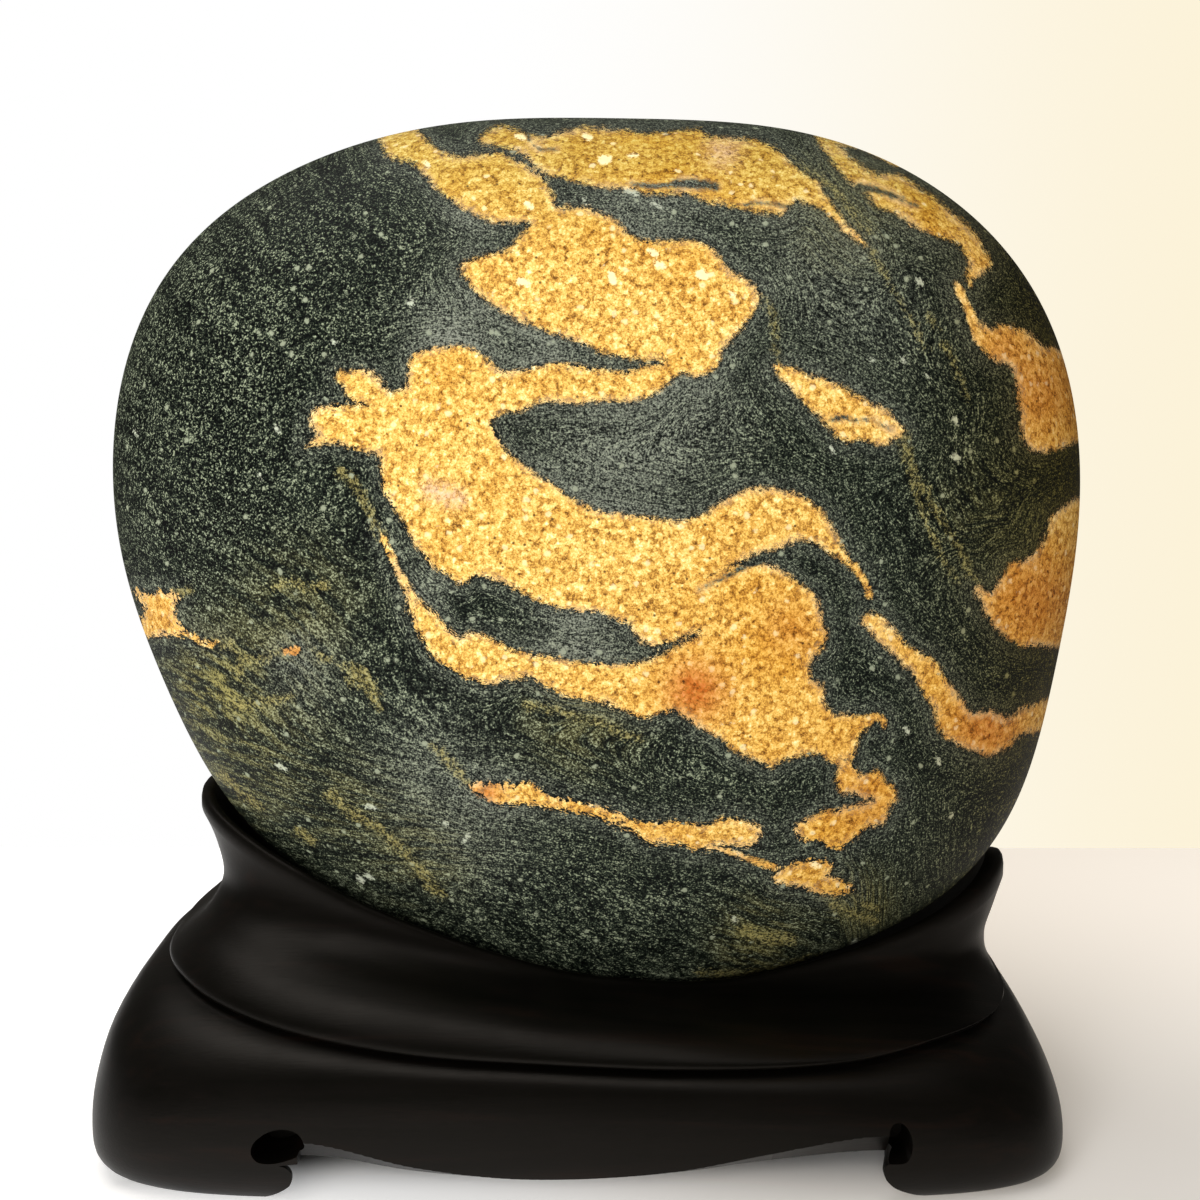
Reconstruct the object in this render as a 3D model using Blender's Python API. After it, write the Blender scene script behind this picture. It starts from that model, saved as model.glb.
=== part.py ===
"""A rounded river stone standing in its carved hardwood stand.

The front faces -Y, up is +Z and the feet stand on z = 0. Lists of sizes are in millimetres.
"""

import math

import bmesh
import bpy

MM = 0.001

# Stone: its outline seen from the front is a radius every 15 degrees, counted from +X up to +Z
STONE_MIDDLE_X = 0.3
STONE_MIDDLE_Z = 138.0
STONE_HALF_DEPTH = 58.0
OUTLINE_RADII = (
    118.0, 122.0, 125.0, 123.0, 117.0, 110.0, 107.0, 110.0, 116.0, 122.5, 125.0, 121.5,
    116.0, 111.0, 109.5, 107.5, 105.0, 105.5, 108.5, 111.0, 115.0, 121.0, 121.5, 117.5,
)
EDGE_POWER = 2.3
FACE_POWER = 2.2
STONE_SUBDIVISIONS = 5

# Stand: angles go round from the right end (0) by the front or the back to the left end (180)
STAND_MIDDLE_X = -3.6
PLAN_RATIO = 0.59
STATIONS = 64
RIM_HEIGHT = (
    (0, 64.0), (10, 60.0), (20, 52.5), (30, 45.8), (44, 40.5), (60, 39.8), (79, 42.0), (94, 44.4),
    (116, 52.4), (132, 60.8), (141, 68.4), (153, 76.0), (166, 80.8), (180, 82.6),
)
CREASE_HEIGHT = (
    (0, 33.5), (25, 32.8), (45, 32.0), (58, 29.6), (78, 29.6), (95, 31.0), (110, 32.6), (125, 36.0),
    (138, 40.0), (150, 43.0), (180, 44.0),
)
SEAT_GAP = ((0, 1.8), (20, 3.0), (45, 2.4), (90, 2.2), (115, 3.4), (140, 4.4), (158, 3.0), (180, 1.0))
SEAT_HOLLOW = 3.5
LIP_THICKNESS = ((0, 5.0), (25, 3.8), (60, 3.0), (110, 3.0), (150, 3.2), (180, 3.6))
TIP_FLARE = ((0, 0.45), (35, 0.2), (75, 0.0), (110, 0.0), (145, 0.35), (180, 1.0))
SEAT_BOTTOM_GAP = 0.35
RECESS_CEILING = 18.0
RECESS_PLAN = (96.7, 98.3, 49.0, 4.6)

# Rows of the base: reach from the stand's middle to the left, to the right and to the front and
# back, corner power, share of the crease's height
BASE_ROWS = (
    (111.7, 113.3, 61.0, 6.0, 0.0),
    (114.9, 114.9, 64.0, 6.6, 0.11),
    (115.5, 115.3, 66.0, 6.4, 0.28),
    (114.7, 114.5, 66.4, 5.8, 0.50),
    (111.9, 111.9, 65.4, 4.8, 0.74),
    (106.5, 108.5, 63.2, 3.7, 0.92),
    (99.9, 105.7, 59.8, 3.1, 1.0),
)
BEAD_PLAN = (101.3, 105.5, 61.2, 3.0)

# Rows of the cup from the bead up: share of the way from lip to bead, tip flare pulled in,
# share of the height from crease to rim at the front, at the left end and at the right end
CUP_ROWS = (
    (1.0, 0.0, 0.17, 0.035, 0.035),
    (0.84, 2.5, 0.48, 0.11, 0.10),
    (0.58, 6.4, 0.66, 0.24, 0.20),
    (0.28, 8.2, 0.74, 0.46, 0.36),
    (0.08, 4.7, 0.84, 0.68, 0.58),
    (0.0, 0.0, 0.93, 0.90, 0.82),
)
LIP_DROP = 1.5
SEAT_STEPS = (0.12, 0.26, 0.42, 0.6, 0.78, 0.92)

# Openings between two feet: the lower edge of the apron as (across from the stand's middle, height)
FRONT_ARCH = ((-61, 10.6), (-36, 6.8), (-11, 5.0), (21, 6.4), (43, 9.4), (69.7, 11.8))
END_ARCH = ((-26, 11.8), (0, 7.0), (26, 11.8))
ARCH_STEPS = 12

# A foot's curled toe, from the apron's end to the floor, and the blind hollow scooped over it, both
# as (outward from the apron's end, height)
WIDE_TOE = ((5.6, 9.9), (3.6, 9.2), (2.8, 7.5), (2.9, 5.8), (4.2, 3.2), (6.6, 0.0))
WIDE_SCOOP = (
    (5.6, 10.7), (8.8, 10.4), (11.0, 11.4), (11.5, 13.4), (10.2, 16.1), (7.4, 18.0), (3.8, 18.5),
    (1.2, 17.6), (-0.2, 14.5), (0.4, 12.9), (2.6, 11.7),
)
NARROW_TOE = (
    (0.3, 11.0), (-0.9, 9.9), (-1.3, 8.6), (-0.7, 6.5), (1.3, 3.9), (4.6, 1.7), (8.0, 0.0),
)
NARROW_SCOOP = (
    (-0.4, 10.9), (1.6, 10.4), (4.0, 11.2), (5.0, 14.5), (4.2, 17.8), (2.0, 19.6), (0.2, 18.2),
    (-0.2, 14.0),
)
SCOOP_DEPTH = 11.0
SCOOP_PINCH = 0.72
SCOOP_FLARE = 1.24
BEVEL_REACH = 4.3
BEVEL_SLOPE = 1.35
BEVEL_LEAST = 0.3
BEVEL_START = 0.5
BEVEL_BELOW = 0.9
BEVEL_OVER = 1.3
SKIRT_DEPTH = 66.0
SKIRT_REACH = 115.4
CUT_INWARD = 22.0
CUT_OUTWARD = 10.0
CUT_BELOW = 6.0
TOE_FRONT = 2.0
TOE_BACK = 8.0
TOE_RECEDE = 5.0

STONE_COLOUR = (0.16, 0.17, 0.13, 1.0)
WOOD_COLOUR = (0.020, 0.014, 0.011, 1.0)


def smooth_through(anchors, at):
    """Reads a smooth curve through (position, value) anchors, level at both ends."""
    last = len(anchors) - 1
    at = min(max(at, anchors[0][0]), anchors[last][0])
    step = 0
    while step < last - 1 and at > anchors[step + 1][0]:
        step += 1

    def slope(index):
        if index in (0, last):
            return 0.0
        before, after = anchors[index - 1], anchors[index + 1]
        return (after[1] - before[1]) / (after[0] - before[0])

    (x0, y0), (x1, y1) = anchors[step], anchors[step + 1]
    width = x1 - x0
    t = (at - x0) / width
    rise0, rise1 = slope(step) * width, slope(step + 1) * width
    square, cube = t * t, t * t * t
    return (
        y0 * (2 * cube - 3 * square + 1)
        + rise0 * (cube - 2 * square + t)
        + y1 * (3 * square - 2 * cube)
        + rise1 * (cube - square)
    )


def outline_waves():
    """Turns the outline's radii into the cosine and sine waves that pass through them."""
    count = len(OUTLINE_RADII)
    waves = []
    for wave in range(count // 2 + 1):
        share = (1 if wave in (0, count // 2) else 2) / count
        turns = [2 * math.pi * wave * place / count for place in range(count)]
        cosine = share * sum(r * math.cos(turn) for r, turn in zip(OUTLINE_RADII, turns))
        sine = share * sum(r * math.sin(turn) for r, turn in zip(OUTLINE_RADII, turns))
        waves.append((cosine, sine))
    return waves


WAVES = outline_waves()


def outline_radius(angle):
    return sum(c * math.cos(n * angle) + s * math.sin(n * angle) for n, (c, s) in enumerate(WAVES))


def outline_share(x, z):
    """How far (x, z) lies from the stone's middle, as a share of the outline's radius there."""
    dx, dz = x - STONE_MIDDLE_X, z - STONE_MIDDLE_Z
    return math.hypot(dx, dz) / outline_radius(math.atan2(dz, dx))


def inside_stone(x, y, z):
    return outline_share(x, z) ** EDGE_POWER + (abs(y) / STONE_HALF_DEPTH) ** FACE_POWER < 1


def last_inside(test, low, high):
    """Halves the span from low, where the test holds, to high, where it fails."""
    for _ in range(30):
        middle = (low + high) / 2
        if test(middle):
            low = middle
        else:
            high = middle
    return low


def stone_underside(x, y):
    """Height of the stone's lower surface over the plan point (x, y)."""
    return last_inside(lambda z: inside_stone(x, y, z), STONE_MIDDLE_Z, 0.0)


def stone_reach(direction, z):
    """How far the stone reaches from the stand's middle at height z, along a plan direction."""
    def test(reach):
        return inside_stone(STAND_MIDDLE_X + reach * direction[0], reach * direction[1], z)

    return last_inside(test, 0.0, 2 * STONE_HALF_DEPTH + 50)


def plan_direction(turn):
    x, y = math.cos(turn), PLAN_RATIO * math.sin(turn)
    length = math.hypot(x, y)
    return x / length, y / length


def ring_point(turn, plan):
    """A point of a rounded rectangle given by its left, right and front reach and its power."""
    left, right, front, power = plan
    across, along = math.cos(turn), math.sin(turn)
    size = (abs(across) ** power + abs(along) ** power) ** (-1 / power)
    reach = right if across > 0 else left
    return STAND_MIDDLE_X + reach * size * across, front * size * along


def mixed(first, second, share):
    return tuple(a + (b - a) * share for a, b in zip(first, second))


def stand_profile(turn):
    """One station of the stand: its points from the recess, over the lip, down into the seat."""
    degrees = abs(math.degrees(turn))
    crease = smooth_through(CREASE_HEIGHT, degrees)
    rim = smooth_through(RIM_HEIGHT, degrees)
    flare = smooth_through(TIP_FLARE, degrees)
    end_share = math.cos(turn) ** 2

    points = [
        (*ring_point(turn, RECESS_PLAN), RECESS_CEILING),
        (*ring_point(turn, RECESS_PLAN), 0.0),
    ]
    for left, right, front, power, share in BASE_ROWS:
        points.append((*ring_point(turn, (left, right, front, power)), crease * share))

    direction = plan_direction(turn)
    inner = stone_reach(direction, rim) + smooth_through(SEAT_GAP, degrees)
    thickness = smooth_through(LIP_THICKNESS, degrees)

    def lip_point(reach):
        return STAND_MIDDLE_X + reach * direction[0], reach * direction[1]

    bead = ring_point(turn, BEAD_PLAN)
    for share, pulled_in, front_rise, left_rise, right_rise in CUP_ROWS:
        end_rise = right_rise if direction[0] > 0 else left_rise
        x, y = mixed(lip_point(inner + thickness), bead, share)
        x -= direction[0] * pulled_in * flare
        y -= direction[1] * pulled_in * flare
        rise = front_rise + (end_rise - front_rise) * end_share
        points.append((x, y, crease + (rim - crease) * rise))
    points.append((*lip_point(inner + thickness * 0.62), rim))
    points.append((*lip_point(inner + thickness * 0.2), rim - 0.2))
    points.append((*lip_point(inner), rim - LIP_DROP))

    edge = lip_point(inner)
    edge_gap = stone_underside(*edge) - (rim - LIP_DROP)
    for step in SEAT_STEPS:
        x, y = mixed(edge, (STAND_MIDDLE_X, 0.0), step)
        gap = SEAT_BOTTOM_GAP + (edge_gap - SEAT_BOTTOM_GAP) * (1 - step) ** 1.5
        gap += SEAT_HOLLOW * end_share * math.sin(math.pi * step)
        points.append((x, y, stone_underside(x, y) - gap))
    return points


def make_material(name, colour, roughness):
    material = bpy.data.materials.new(name)
    material.use_nodes = True
    shader = material.node_tree.nodes["Principled BSDF"]
    shader.inputs["Base Color"].default_value = colour
    shader.inputs["Roughness"].default_value = roughness
    shader.inputs["Metallic"].default_value = 0.0
    material.diffuse_color = colour
    return material


def make_collection(name):
    collection = bpy.data.collections.new(name)
    bpy.context.scene.collection.children.link(collection)
    return collection


def make_object(name, shape, collection):
    mesh = bpy.data.meshes.new(name)
    bmesh.ops.recalc_face_normals(shape, faces=shape.faces)
    shape.to_mesh(mesh)
    shape.free()
    made = bpy.data.objects.new(name, mesh)
    collection.objects.link(made)
    return made


def make_stone(collection):
    """Moves a sphere's points out to the outline across X and Z, and to the faces along Y."""
    shape = bmesh.new()
    bmesh.ops.create_icosphere(shape, subdivisions=STONE_SUBDIVISIONS, radius=1.0)
    for vertex in shape.verts:
        x, y, z = vertex.co
        angle = math.atan2(z, x)
        radius = outline_radius(angle) * math.hypot(x, z) ** (2 / EDGE_POWER)
        depth = math.copysign(STONE_HALF_DEPTH * abs(y) ** (2 / FACE_POWER), y)
        vertex.co = (
            (STONE_MIDDLE_X + radius * math.cos(angle)) * MM,
            depth * MM,
            (STONE_MIDDLE_Z + radius * math.sin(angle)) * MM,
        )
    stone = make_object("stone", shape, collection)
    stone.data.materials.append(make_material("stone", STONE_COLOUR, 0.45))
    return stone


def bridge(shape, lower, upper):
    for place, start in enumerate(lower):
        after = (place + 1) % len(lower)
        shape.faces.new((start, lower[after], upper[after], upper[place]))


def close_with(shape, ring, middle):
    for place, start in enumerate(ring):
        shape.faces.new((start, ring[(place + 1) % len(ring)], middle))


def make_stand_body(collection):
    """Lofts the stand round its stations and closes the recess and the seat."""
    shape = bmesh.new()
    turns = [2 * math.pi * station / STATIONS - math.pi for station in range(STATIONS)]
    profiles = [stand_profile(turn) for turn in turns]
    rows = [
        [shape.verts.new([value * MM for value in profile[row]]) for profile in profiles]
        for row in range(len(profiles[0]))
    ]
    for lower, upper in zip(rows, rows[1:]):
        bridge(shape, lower, upper)
    ceiling = shape.verts.new((STAND_MIDDLE_X * MM, 0.0, RECESS_CEILING * MM))
    floor_height = stone_underside(STAND_MIDDLE_X, 0.0) - SEAT_BOTTOM_GAP
    floor = shape.verts.new((STAND_MIDDLE_X * MM, 0.0, floor_height * MM))
    close_with(shape, rows[0], ceiling)
    close_with(shape, rows[-1], floor)
    stand = make_object("stand", shape, collection)
    stand.data.materials.append(make_material("wood", WOOD_COLOUR, 0.35))
    return stand


def arch_points(arch, lift=0.0):
    """Samples the apron's lower edge, raised by a lift that grows towards the toes."""
    start, end = arch[0][0], arch[-1][0]
    points = []
    for step in range(ARCH_STEPS + 1):
        across = start + (end - start) * step / ARCH_STEPS
        share = BEVEL_LEAST + (1 - BEVEL_LEAST) * min((across / end) ** 2, 1)
        points.append((across, smooth_through(arch, across) + lift * share))
    return points


def opening_outline(arch, left_toe, right_toe, recede):
    """One opening's outline: the left foot's toe, the arch, then the right foot's toe.

    Recede moves the toes outward, so that a toe's curl is only as deep as its front.
    """
    left = [(arch[0][0] - out - recede, height) for out, height in left_toe]
    right = [(arch[-1][0] + out + recede, height) for out, height in right_toe]
    outline = list(reversed(left)) + arch_points(arch) + right
    return outline + [(outline[-1][0], -CUT_BELOW), (outline[0][0], -CUT_BELOW)]


def scoop_outline(arch, side, scoop, size):
    """A hollow's outline at the left (-1) or right (1) end of the arch, drawn in by size."""
    middle = [sum(values) / len(scoop) for values in zip(*scoop)]
    drawn = [mixed(middle, point, size) for point in scoop]
    end = arch[0][0] if side < 0 else arch[-1][0]
    return [(end + side * out, height) for out, height in drawn]


def bevel_outline(arch, distance, skirt):
    """The band cut off the apron's lower edge, at a distance outward from the stand's middle."""
    lift = BEVEL_SLOPE * (distance - (skirt - BEVEL_REACH))
    raised = arch_points(arch, lift)
    lower = [(across, height - BEVEL_BELOW) for across, height in arch_points(arch)]
    return [
        (raised[0][0] - BEVEL_OVER, raised[0][1]),
        *raised,
        (raised[-1][0] + BEVEL_OVER, raised[-1][1]),
        (lower[-1][0] + BEVEL_OVER, lower[-1][1]),
        *reversed(lower),
        (lower[0][0] - BEVEL_OVER, lower[0][1]),
    ]


def make_cutter(name, sections, place, collection):
    """A prism through (distance outward, outline) sections.

    place turns (across, outward, height) into a point of the stand.
    """
    shape = bmesh.new()
    rings = [
        [shape.verts.new([v * MM for v in place(across, distance, height)]) for across, height in outline]
        for distance, outline in sections
    ]
    for lower, upper in zip(rings, rings[1:]):
        bridge(shape, lower, upper)
    shape.faces.new(rings[0])
    shape.faces.new(rings[-1])
    cutter = make_object(name, shape, collection)
    cutter.hide_render = True
    cutter.display_type = "WIRE"
    return cutter


def cut(target, cutter):
    boolean = target.modifiers.new(cutter.name, "BOOLEAN")
    boolean.operation = "DIFFERENCE"
    boolean.solver = "EXACT"
    boolean.object = cutter


def carve_openings(stand, collection):
    """Cuts the arches between the feet, their bevels and the hollow over each toe."""
    wide, narrow = (WIDE_TOE, WIDE_SCOOP), (NARROW_TOE, NARROW_SCOOP)
    sides = (
        ("front", FRONT_ARCH, wide, lambda a, d, h: (STAND_MIDDLE_X + a, -d, h), SKIRT_DEPTH),
        ("back", FRONT_ARCH, wide, lambda a, d, h: (STAND_MIDDLE_X + a, d, h), SKIRT_DEPTH),
        ("left", END_ARCH, narrow, lambda a, d, h: (STAND_MIDDLE_X - d, a, h), SKIRT_REACH),
        ("right", END_ARCH, narrow, lambda a, d, h: (STAND_MIDDLE_X + d, a, h), SKIRT_REACH),
    )
    for name, arch, (left_toe, left_scoop), place, skirt in sides:
        inside, outside = skirt - CUT_INWARD, skirt + CUT_OUTWARD
        opening = [
            (distance, opening_outline(arch, left_toe, NARROW_TOE, recede))
            for distance, recede in (
                (inside, TOE_RECEDE), (skirt - TOE_BACK, TOE_RECEDE), (skirt - TOE_FRONT, 0.0),
                (outside, 0.0),
            )
        ]
        cut(stand, make_cutter(name + "_opening", opening, place, collection))
        flared = [
            (distance, bevel_outline(arch, distance, skirt))
            for distance in (skirt - BEVEL_REACH - BEVEL_START, outside + 1)
        ]
        cut(stand, make_cutter(name + "_bevel", flared, place, collection))
        for side, scoop in ((-1, left_scoop), (1, NARROW_SCOOP)):
            hollow = (
                (skirt - SCOOP_DEPTH, scoop_outline(arch, side, scoop, SCOOP_PINCH)),
                (outside - 1, scoop_outline(arch, side, scoop, SCOOP_FLARE)),
            )
            cut(stand, make_cutter(name + "_scoop", hollow, place, collection))


def main():
    for existing in list(bpy.data.objects):
        bpy.data.objects.remove(existing)
    parts = make_collection("viewing_stone")
    cutters = make_collection("cutters")
    make_stone(parts)
    stand = make_stand_body(parts)
    carve_openings(stand, cutters)


main()
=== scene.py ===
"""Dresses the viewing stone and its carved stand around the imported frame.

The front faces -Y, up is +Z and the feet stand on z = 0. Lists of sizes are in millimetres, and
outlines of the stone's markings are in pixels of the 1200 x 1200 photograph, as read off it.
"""

import math

import bmesh
import bpy
import numpy as np
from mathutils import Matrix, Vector, noise


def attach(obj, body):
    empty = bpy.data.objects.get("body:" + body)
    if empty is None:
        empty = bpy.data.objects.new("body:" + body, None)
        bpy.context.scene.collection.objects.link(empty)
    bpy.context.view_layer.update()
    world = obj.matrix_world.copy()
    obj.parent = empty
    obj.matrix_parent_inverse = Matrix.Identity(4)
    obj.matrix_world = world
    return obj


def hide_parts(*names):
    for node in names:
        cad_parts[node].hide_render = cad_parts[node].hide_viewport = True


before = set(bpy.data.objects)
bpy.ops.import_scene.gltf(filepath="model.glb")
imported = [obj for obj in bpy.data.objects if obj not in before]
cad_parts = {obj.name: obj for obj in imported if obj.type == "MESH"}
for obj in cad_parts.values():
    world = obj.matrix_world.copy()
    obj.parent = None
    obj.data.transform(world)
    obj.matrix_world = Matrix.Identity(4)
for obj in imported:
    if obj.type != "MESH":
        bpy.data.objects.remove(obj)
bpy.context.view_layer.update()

MM = 0.001

# Camera: its place, its pitch down in degrees, and the photograph's scale in pixels
CAMERA_PLACE = (1.5, -434.0, 189.0)
CAMERA_PITCH = 8.0
PHOTO_SIZE = 1200
FOCAL_PIXELS = 1750.0
SENSOR_WIDTH = 36.0
PIXELS_PER_MM = 4.03

# Stone, from the same values as the solid: a radius every 15 degrees, from +X up to +Z
STONE_MIDDLE_X = 0.3
STONE_MIDDLE_Z = 138.0
STONE_HALF_DEPTH = 58.0
OUTLINE_RADII = (
    118.0, 122.0, 125.0, 123.0, 117.0, 110.0, 107.0, 110.0, 116.0, 122.5, 125.0, 121.5,
    116.0, 111.0, 109.5, 107.5, 105.0, 105.5, 108.5, 111.0, 115.0, 121.0, 121.5, 117.5,
)
EDGE_POWER = 2.3
FACE_POWER = 2.2
STONE_SPLITS = 96
FRONT_PULL = 0.68
STONE_TRIM = 0.9993

# Stand, from the same values as the solid: 0 is the right end, 90 the front or back, 180 the left
STAND_MIDDLE_X = -3.6
PLAN_RATIO = 0.59
STATIONS = 384
STAND_TRIM = 0.9993
RIM_HEIGHT = (
    (0, 64.0), (10, 60.0), (20, 52.5), (30, 45.8), (44, 40.5), (60, 39.8), (79, 42.0), (94, 44.4),
    (116, 52.4), (132, 60.8), (141, 68.4), (153, 76.0), (166, 80.8), (180, 82.6),
)
CREASE_HEIGHT = (
    (0, 33.5), (25, 32.8), (45, 32.0), (58, 29.6), (78, 29.6), (95, 31.0), (110, 32.6), (125, 36.0),
    (138, 40.0), (150, 43.0), (180, 44.0),
)
SEAT_GAP = ((0, 1.8), (20, 3.0), (45, 2.4), (90, 2.2), (115, 3.4), (140, 4.4), (158, 3.0), (180, 1.0))
SEAT_HOLLOW = 3.5
LIP_THICKNESS = ((0, 5.0), (25, 3.8), (60, 3.0), (110, 3.0), (150, 3.2), (180, 3.6))
TIP_FLARE = ((0, 0.45), (35, 0.2), (75, 0.0), (110, 0.0), (145, 0.35), (180, 1.0))
SEAT_BOTTOM_GAP = 0.35
RECESS_CEILING = 18.0
RECESS_PLAN = (96.7, 98.3, 49.0, 4.6)
BASE_ROWS = (
    (111.7, 113.3, 61.0, 6.0, 0.0),
    (114.9, 114.9, 64.0, 6.6, 0.11),
    (115.5, 115.3, 66.0, 6.4, 0.28),
    (114.7, 114.5, 66.4, 5.8, 0.50),
    (111.9, 111.9, 65.4, 4.8, 0.74),
    (106.5, 108.5, 63.2, 3.7, 0.92),
    (99.9, 105.7, 59.8, 3.1, 1.0),
)
BEAD_PLAN = (101.3, 105.5, 61.2, 3.0)
CUP_ROWS = (
    (1.0, 0.0, 0.17, 0.035, 0.035),
    (0.84, 2.5, 0.48, 0.11, 0.10),
    (0.58, 6.4, 0.66, 0.24, 0.20),
    (0.28, 8.2, 0.74, 0.46, 0.36),
    (0.08, 4.7, 0.84, 0.68, 0.58),
    (0.0, 0.0, 0.93, 0.90, 0.82),
)
LIP_DROP = 1.5
SEAT_STEPS = (0.12, 0.26, 0.42, 0.6, 0.78, 0.92)
FRONT_ARCH = ((-61, 10.6), (-36, 6.8), (-11, 5.0), (21, 6.4), (43, 9.4), (69.7, 11.8))
END_ARCH = ((-26, 11.8), (0, 7.0), (26, 11.8))
ARCH_STEPS = 60

# A foot's toe, from the apron's end to the floor, and the hollow scooped over it, both as
# (outward from the apron's end, height)
WIDE_TOE = (
    (5.6, 9.9), (4.2, 9.5), (3.3, 8.7), (2.8, 7.5), (2.9, 5.8), (3.8, 3.9), (5.2, 1.8), (6.6, 0.0),
)
WIDE_SCOOP = (
    (5.6, 10.7), (8.2, 10.4), (10.4, 10.9), (11.6, 12.8), (11.1, 15.0), (9.7, 16.5), (7.9, 17.7),
    (5.7, 18.4), (3.4, 18.4), (1.5, 17.8), (0.2, 16.3), (-0.2, 14.4), (0.4, 12.9), (2.6, 11.7),
)
NARROW_TOE = (
    (0.3, 11.0), (-0.4, 10.3), (-0.95, 9.9), (-1.3, 9.0), (-1.25, 8.0), (-0.7, 6.5), (0.2, 5.2),
    (1.5, 3.8), (3.0, 2.7), (4.8, 1.6), (6.4, 0.7), (8.0, 0.0),
)
NARROW_SCOOP = (
    (-0.4, 10.9), (1.2, 10.4), (3.6, 10.7), (4.8, 12.6), (5.0, 15.0), (4.5, 17.3), (3.4, 18.9),
    (1.9, 19.6), (0.6, 19.1), (-0.1, 17.6), (-0.2, 14.0),
)
SCOOP_DEPTH = 11.0
SCOOP_PINCH = 0.72
BEVEL_REACH = 4.3
BEVEL_SLOPE = 1.35
BEVEL_LEAST = 0.3
BEVEL_START = 0.5
BEVEL_BELOW = 0.9
BEVEL_OVER = 1.3
SKIRT_DEPTH = 66.0
SKIRT_REACH = 115.4
CUT_INWARD = 22.0
CUT_OUTWARD = 10.0
CUT_BELOW = 6.0
TOE_FRONT = 2.0
TOE_BACK = 8.0
WIDE_RECEDE = (5.0, 5.0, 0.0, 0.0)
NARROW_RECEDE = (3.4, 1.4, 0.0, 0.0)

# Points that the finer stand has along each part of its section
BASE_SAMPLES = 26
CUP_SAMPLES = 34
LIP_SAMPLES = 9
SEAT_SAMPLES = 16

# Ochre marks on the stone: closed outlines in photograph pixels
SWIRL = (
    (382, 135), (415, 130), (430, 145), (454, 158), (496, 154), (519, 163), (541, 178), (552, 195),
    (556, 207), (590, 209), (615, 222), (634, 239), (649, 243), (682, 241), (704, 245), (719, 256),
    (730, 272), (752, 285), (758, 298), (752, 313), (738, 331), (723, 348), (715, 365), (701, 376),
    (682, 372), (664, 383), (645, 396), (623, 401), (600, 400), (578, 402), (541, 400), (520, 410),
    (504, 411), (491, 421), (496, 435), (504, 450), (522, 465), (548, 483), (578, 502), (593, 511),
    (608, 513), (641, 518), (678, 522), (701, 516), (723, 503), (745, 492), (767, 489), (789, 492),
    (804, 498), (819, 509), (830, 524), (836, 535), (845, 553), (855, 568), (843, 560), (826, 549),
    (815, 544), (800, 538), (782, 546), (760, 551), (738, 561), (708, 576), (738, 567), (767, 566),
    (782, 572), (800, 585), (815, 598), (821, 616), (826, 638), (819, 651), (810, 660), (811, 679),
    (821, 684), (823, 701), (834, 716), (845, 716), (867, 721), (856, 742), (852, 757), (834, 760),
    (815, 753), (797, 755), (782, 760), (771, 766), (752, 758), (734, 749), (715, 734), (697, 725),
    (682, 712), (667, 710), (649, 716), (636, 714), (618, 707), (596, 699), (566, 696), (544, 684),
    (529, 677), (507, 679), (488, 683), (462, 675), (440, 660), (425, 642), (411, 612), (403, 579),
    (418, 601), (433, 612), (444, 627), (459, 638), (474, 633), (492, 640), (511, 651), (533, 655),
    (559, 660), (581, 664), (629, 664), (655, 660), (682, 646), (704, 631), (675, 638), (652, 644),
    (639, 638), (630, 624), (599, 612), (566, 609), (536, 598), (507, 583), (478, 574), (463, 583),
    (452, 577), (434, 565), (415, 542), (404, 520), (389, 498), (382, 472), (378, 454), (356, 448),
    (334, 441), (306, 446), (319, 435), (311, 424), (315, 411), (334, 407), (371, 407), (352, 398),
    (345, 391), (337, 374), (348, 372), (367, 372), (385, 387), (393, 393), (406, 389), (408, 383),
    (411, 361), (430, 350), (456, 347), (478, 352), (493, 365), (508, 373), (541, 367), (560, 365),
    (582, 367), (615, 373), (649, 368), (667, 360), (645, 359), (612, 354), (586, 344), (560, 335),
    (537, 326), (504, 311), (482, 296), (471, 283), (461, 267), (478, 258), (509, 250), (522, 235),
    (530, 222), (496, 222), (478, 215), (452, 200), (434, 184), (415, 163), (393, 158), (382, 143),
)
LENS = (
    (776, 366), (790, 369), (812, 377), (830, 382), (848, 391), (866, 402), (885, 411), (897, 421),
    (903, 431), (895, 437), (886, 443), (874, 443), (860, 438), (846, 440), (834, 431), (819, 416),
    (806, 403), (792, 389), (780, 376),
)
TOP_BAND = (
    (480, 141), (487, 132), (500, 127), (515, 130), (527, 135), (540, 138), (555, 135), (575, 130),
    (600, 129), (620, 132), (655, 135), (680, 132), (700, 131), (706, 137), (740, 140), (762, 143),
    (780, 153), (800, 172), (817, 182), (825, 195), (835, 210), (847, 225), (862, 240), (867, 246),
    (850, 235), (835, 220), (822, 208), (807, 203), (795, 200), (782, 213), (763, 211), (745, 208),
    (720, 203), (704, 199), (685, 193), (650, 193), (634, 188), (605, 187), (587, 183), (560, 177),
    (540, 170), (530, 160), (520, 151), (500, 146),
)
TOP_RIGHT_BAND = (
    (816, 135), (832, 141), (842, 149), (848, 157), (857, 163), (867, 171), (880, 176), (892, 175),
    (905, 179), (920, 189), (935, 200), (950, 212), (965, 225), (977, 237), (985, 252), (990, 263),
    (983, 272), (973, 279), (967, 277), (970, 260), (962, 247), (952, 240), (940, 236), (927, 231),
    (915, 225), (905, 219), (895, 212), (880, 207), (874, 202), (868, 194), (858, 186), (847, 178),
    (837, 166), (827, 152),
)
RIGHT_UPPER = (
    (977, 324), (988, 329), (1005, 327), (1020, 331), (1031, 336), (1041, 346), (1056, 350),
    (1066, 354), (1080, 380), (1086, 432), (1066, 444), (1050, 450), (1035, 450), (1026, 443),
    (1021, 430), (1022, 415), (1020, 400), (1017, 382), (1012, 366), (998, 361), (986, 353), (978, 340),
)
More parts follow.
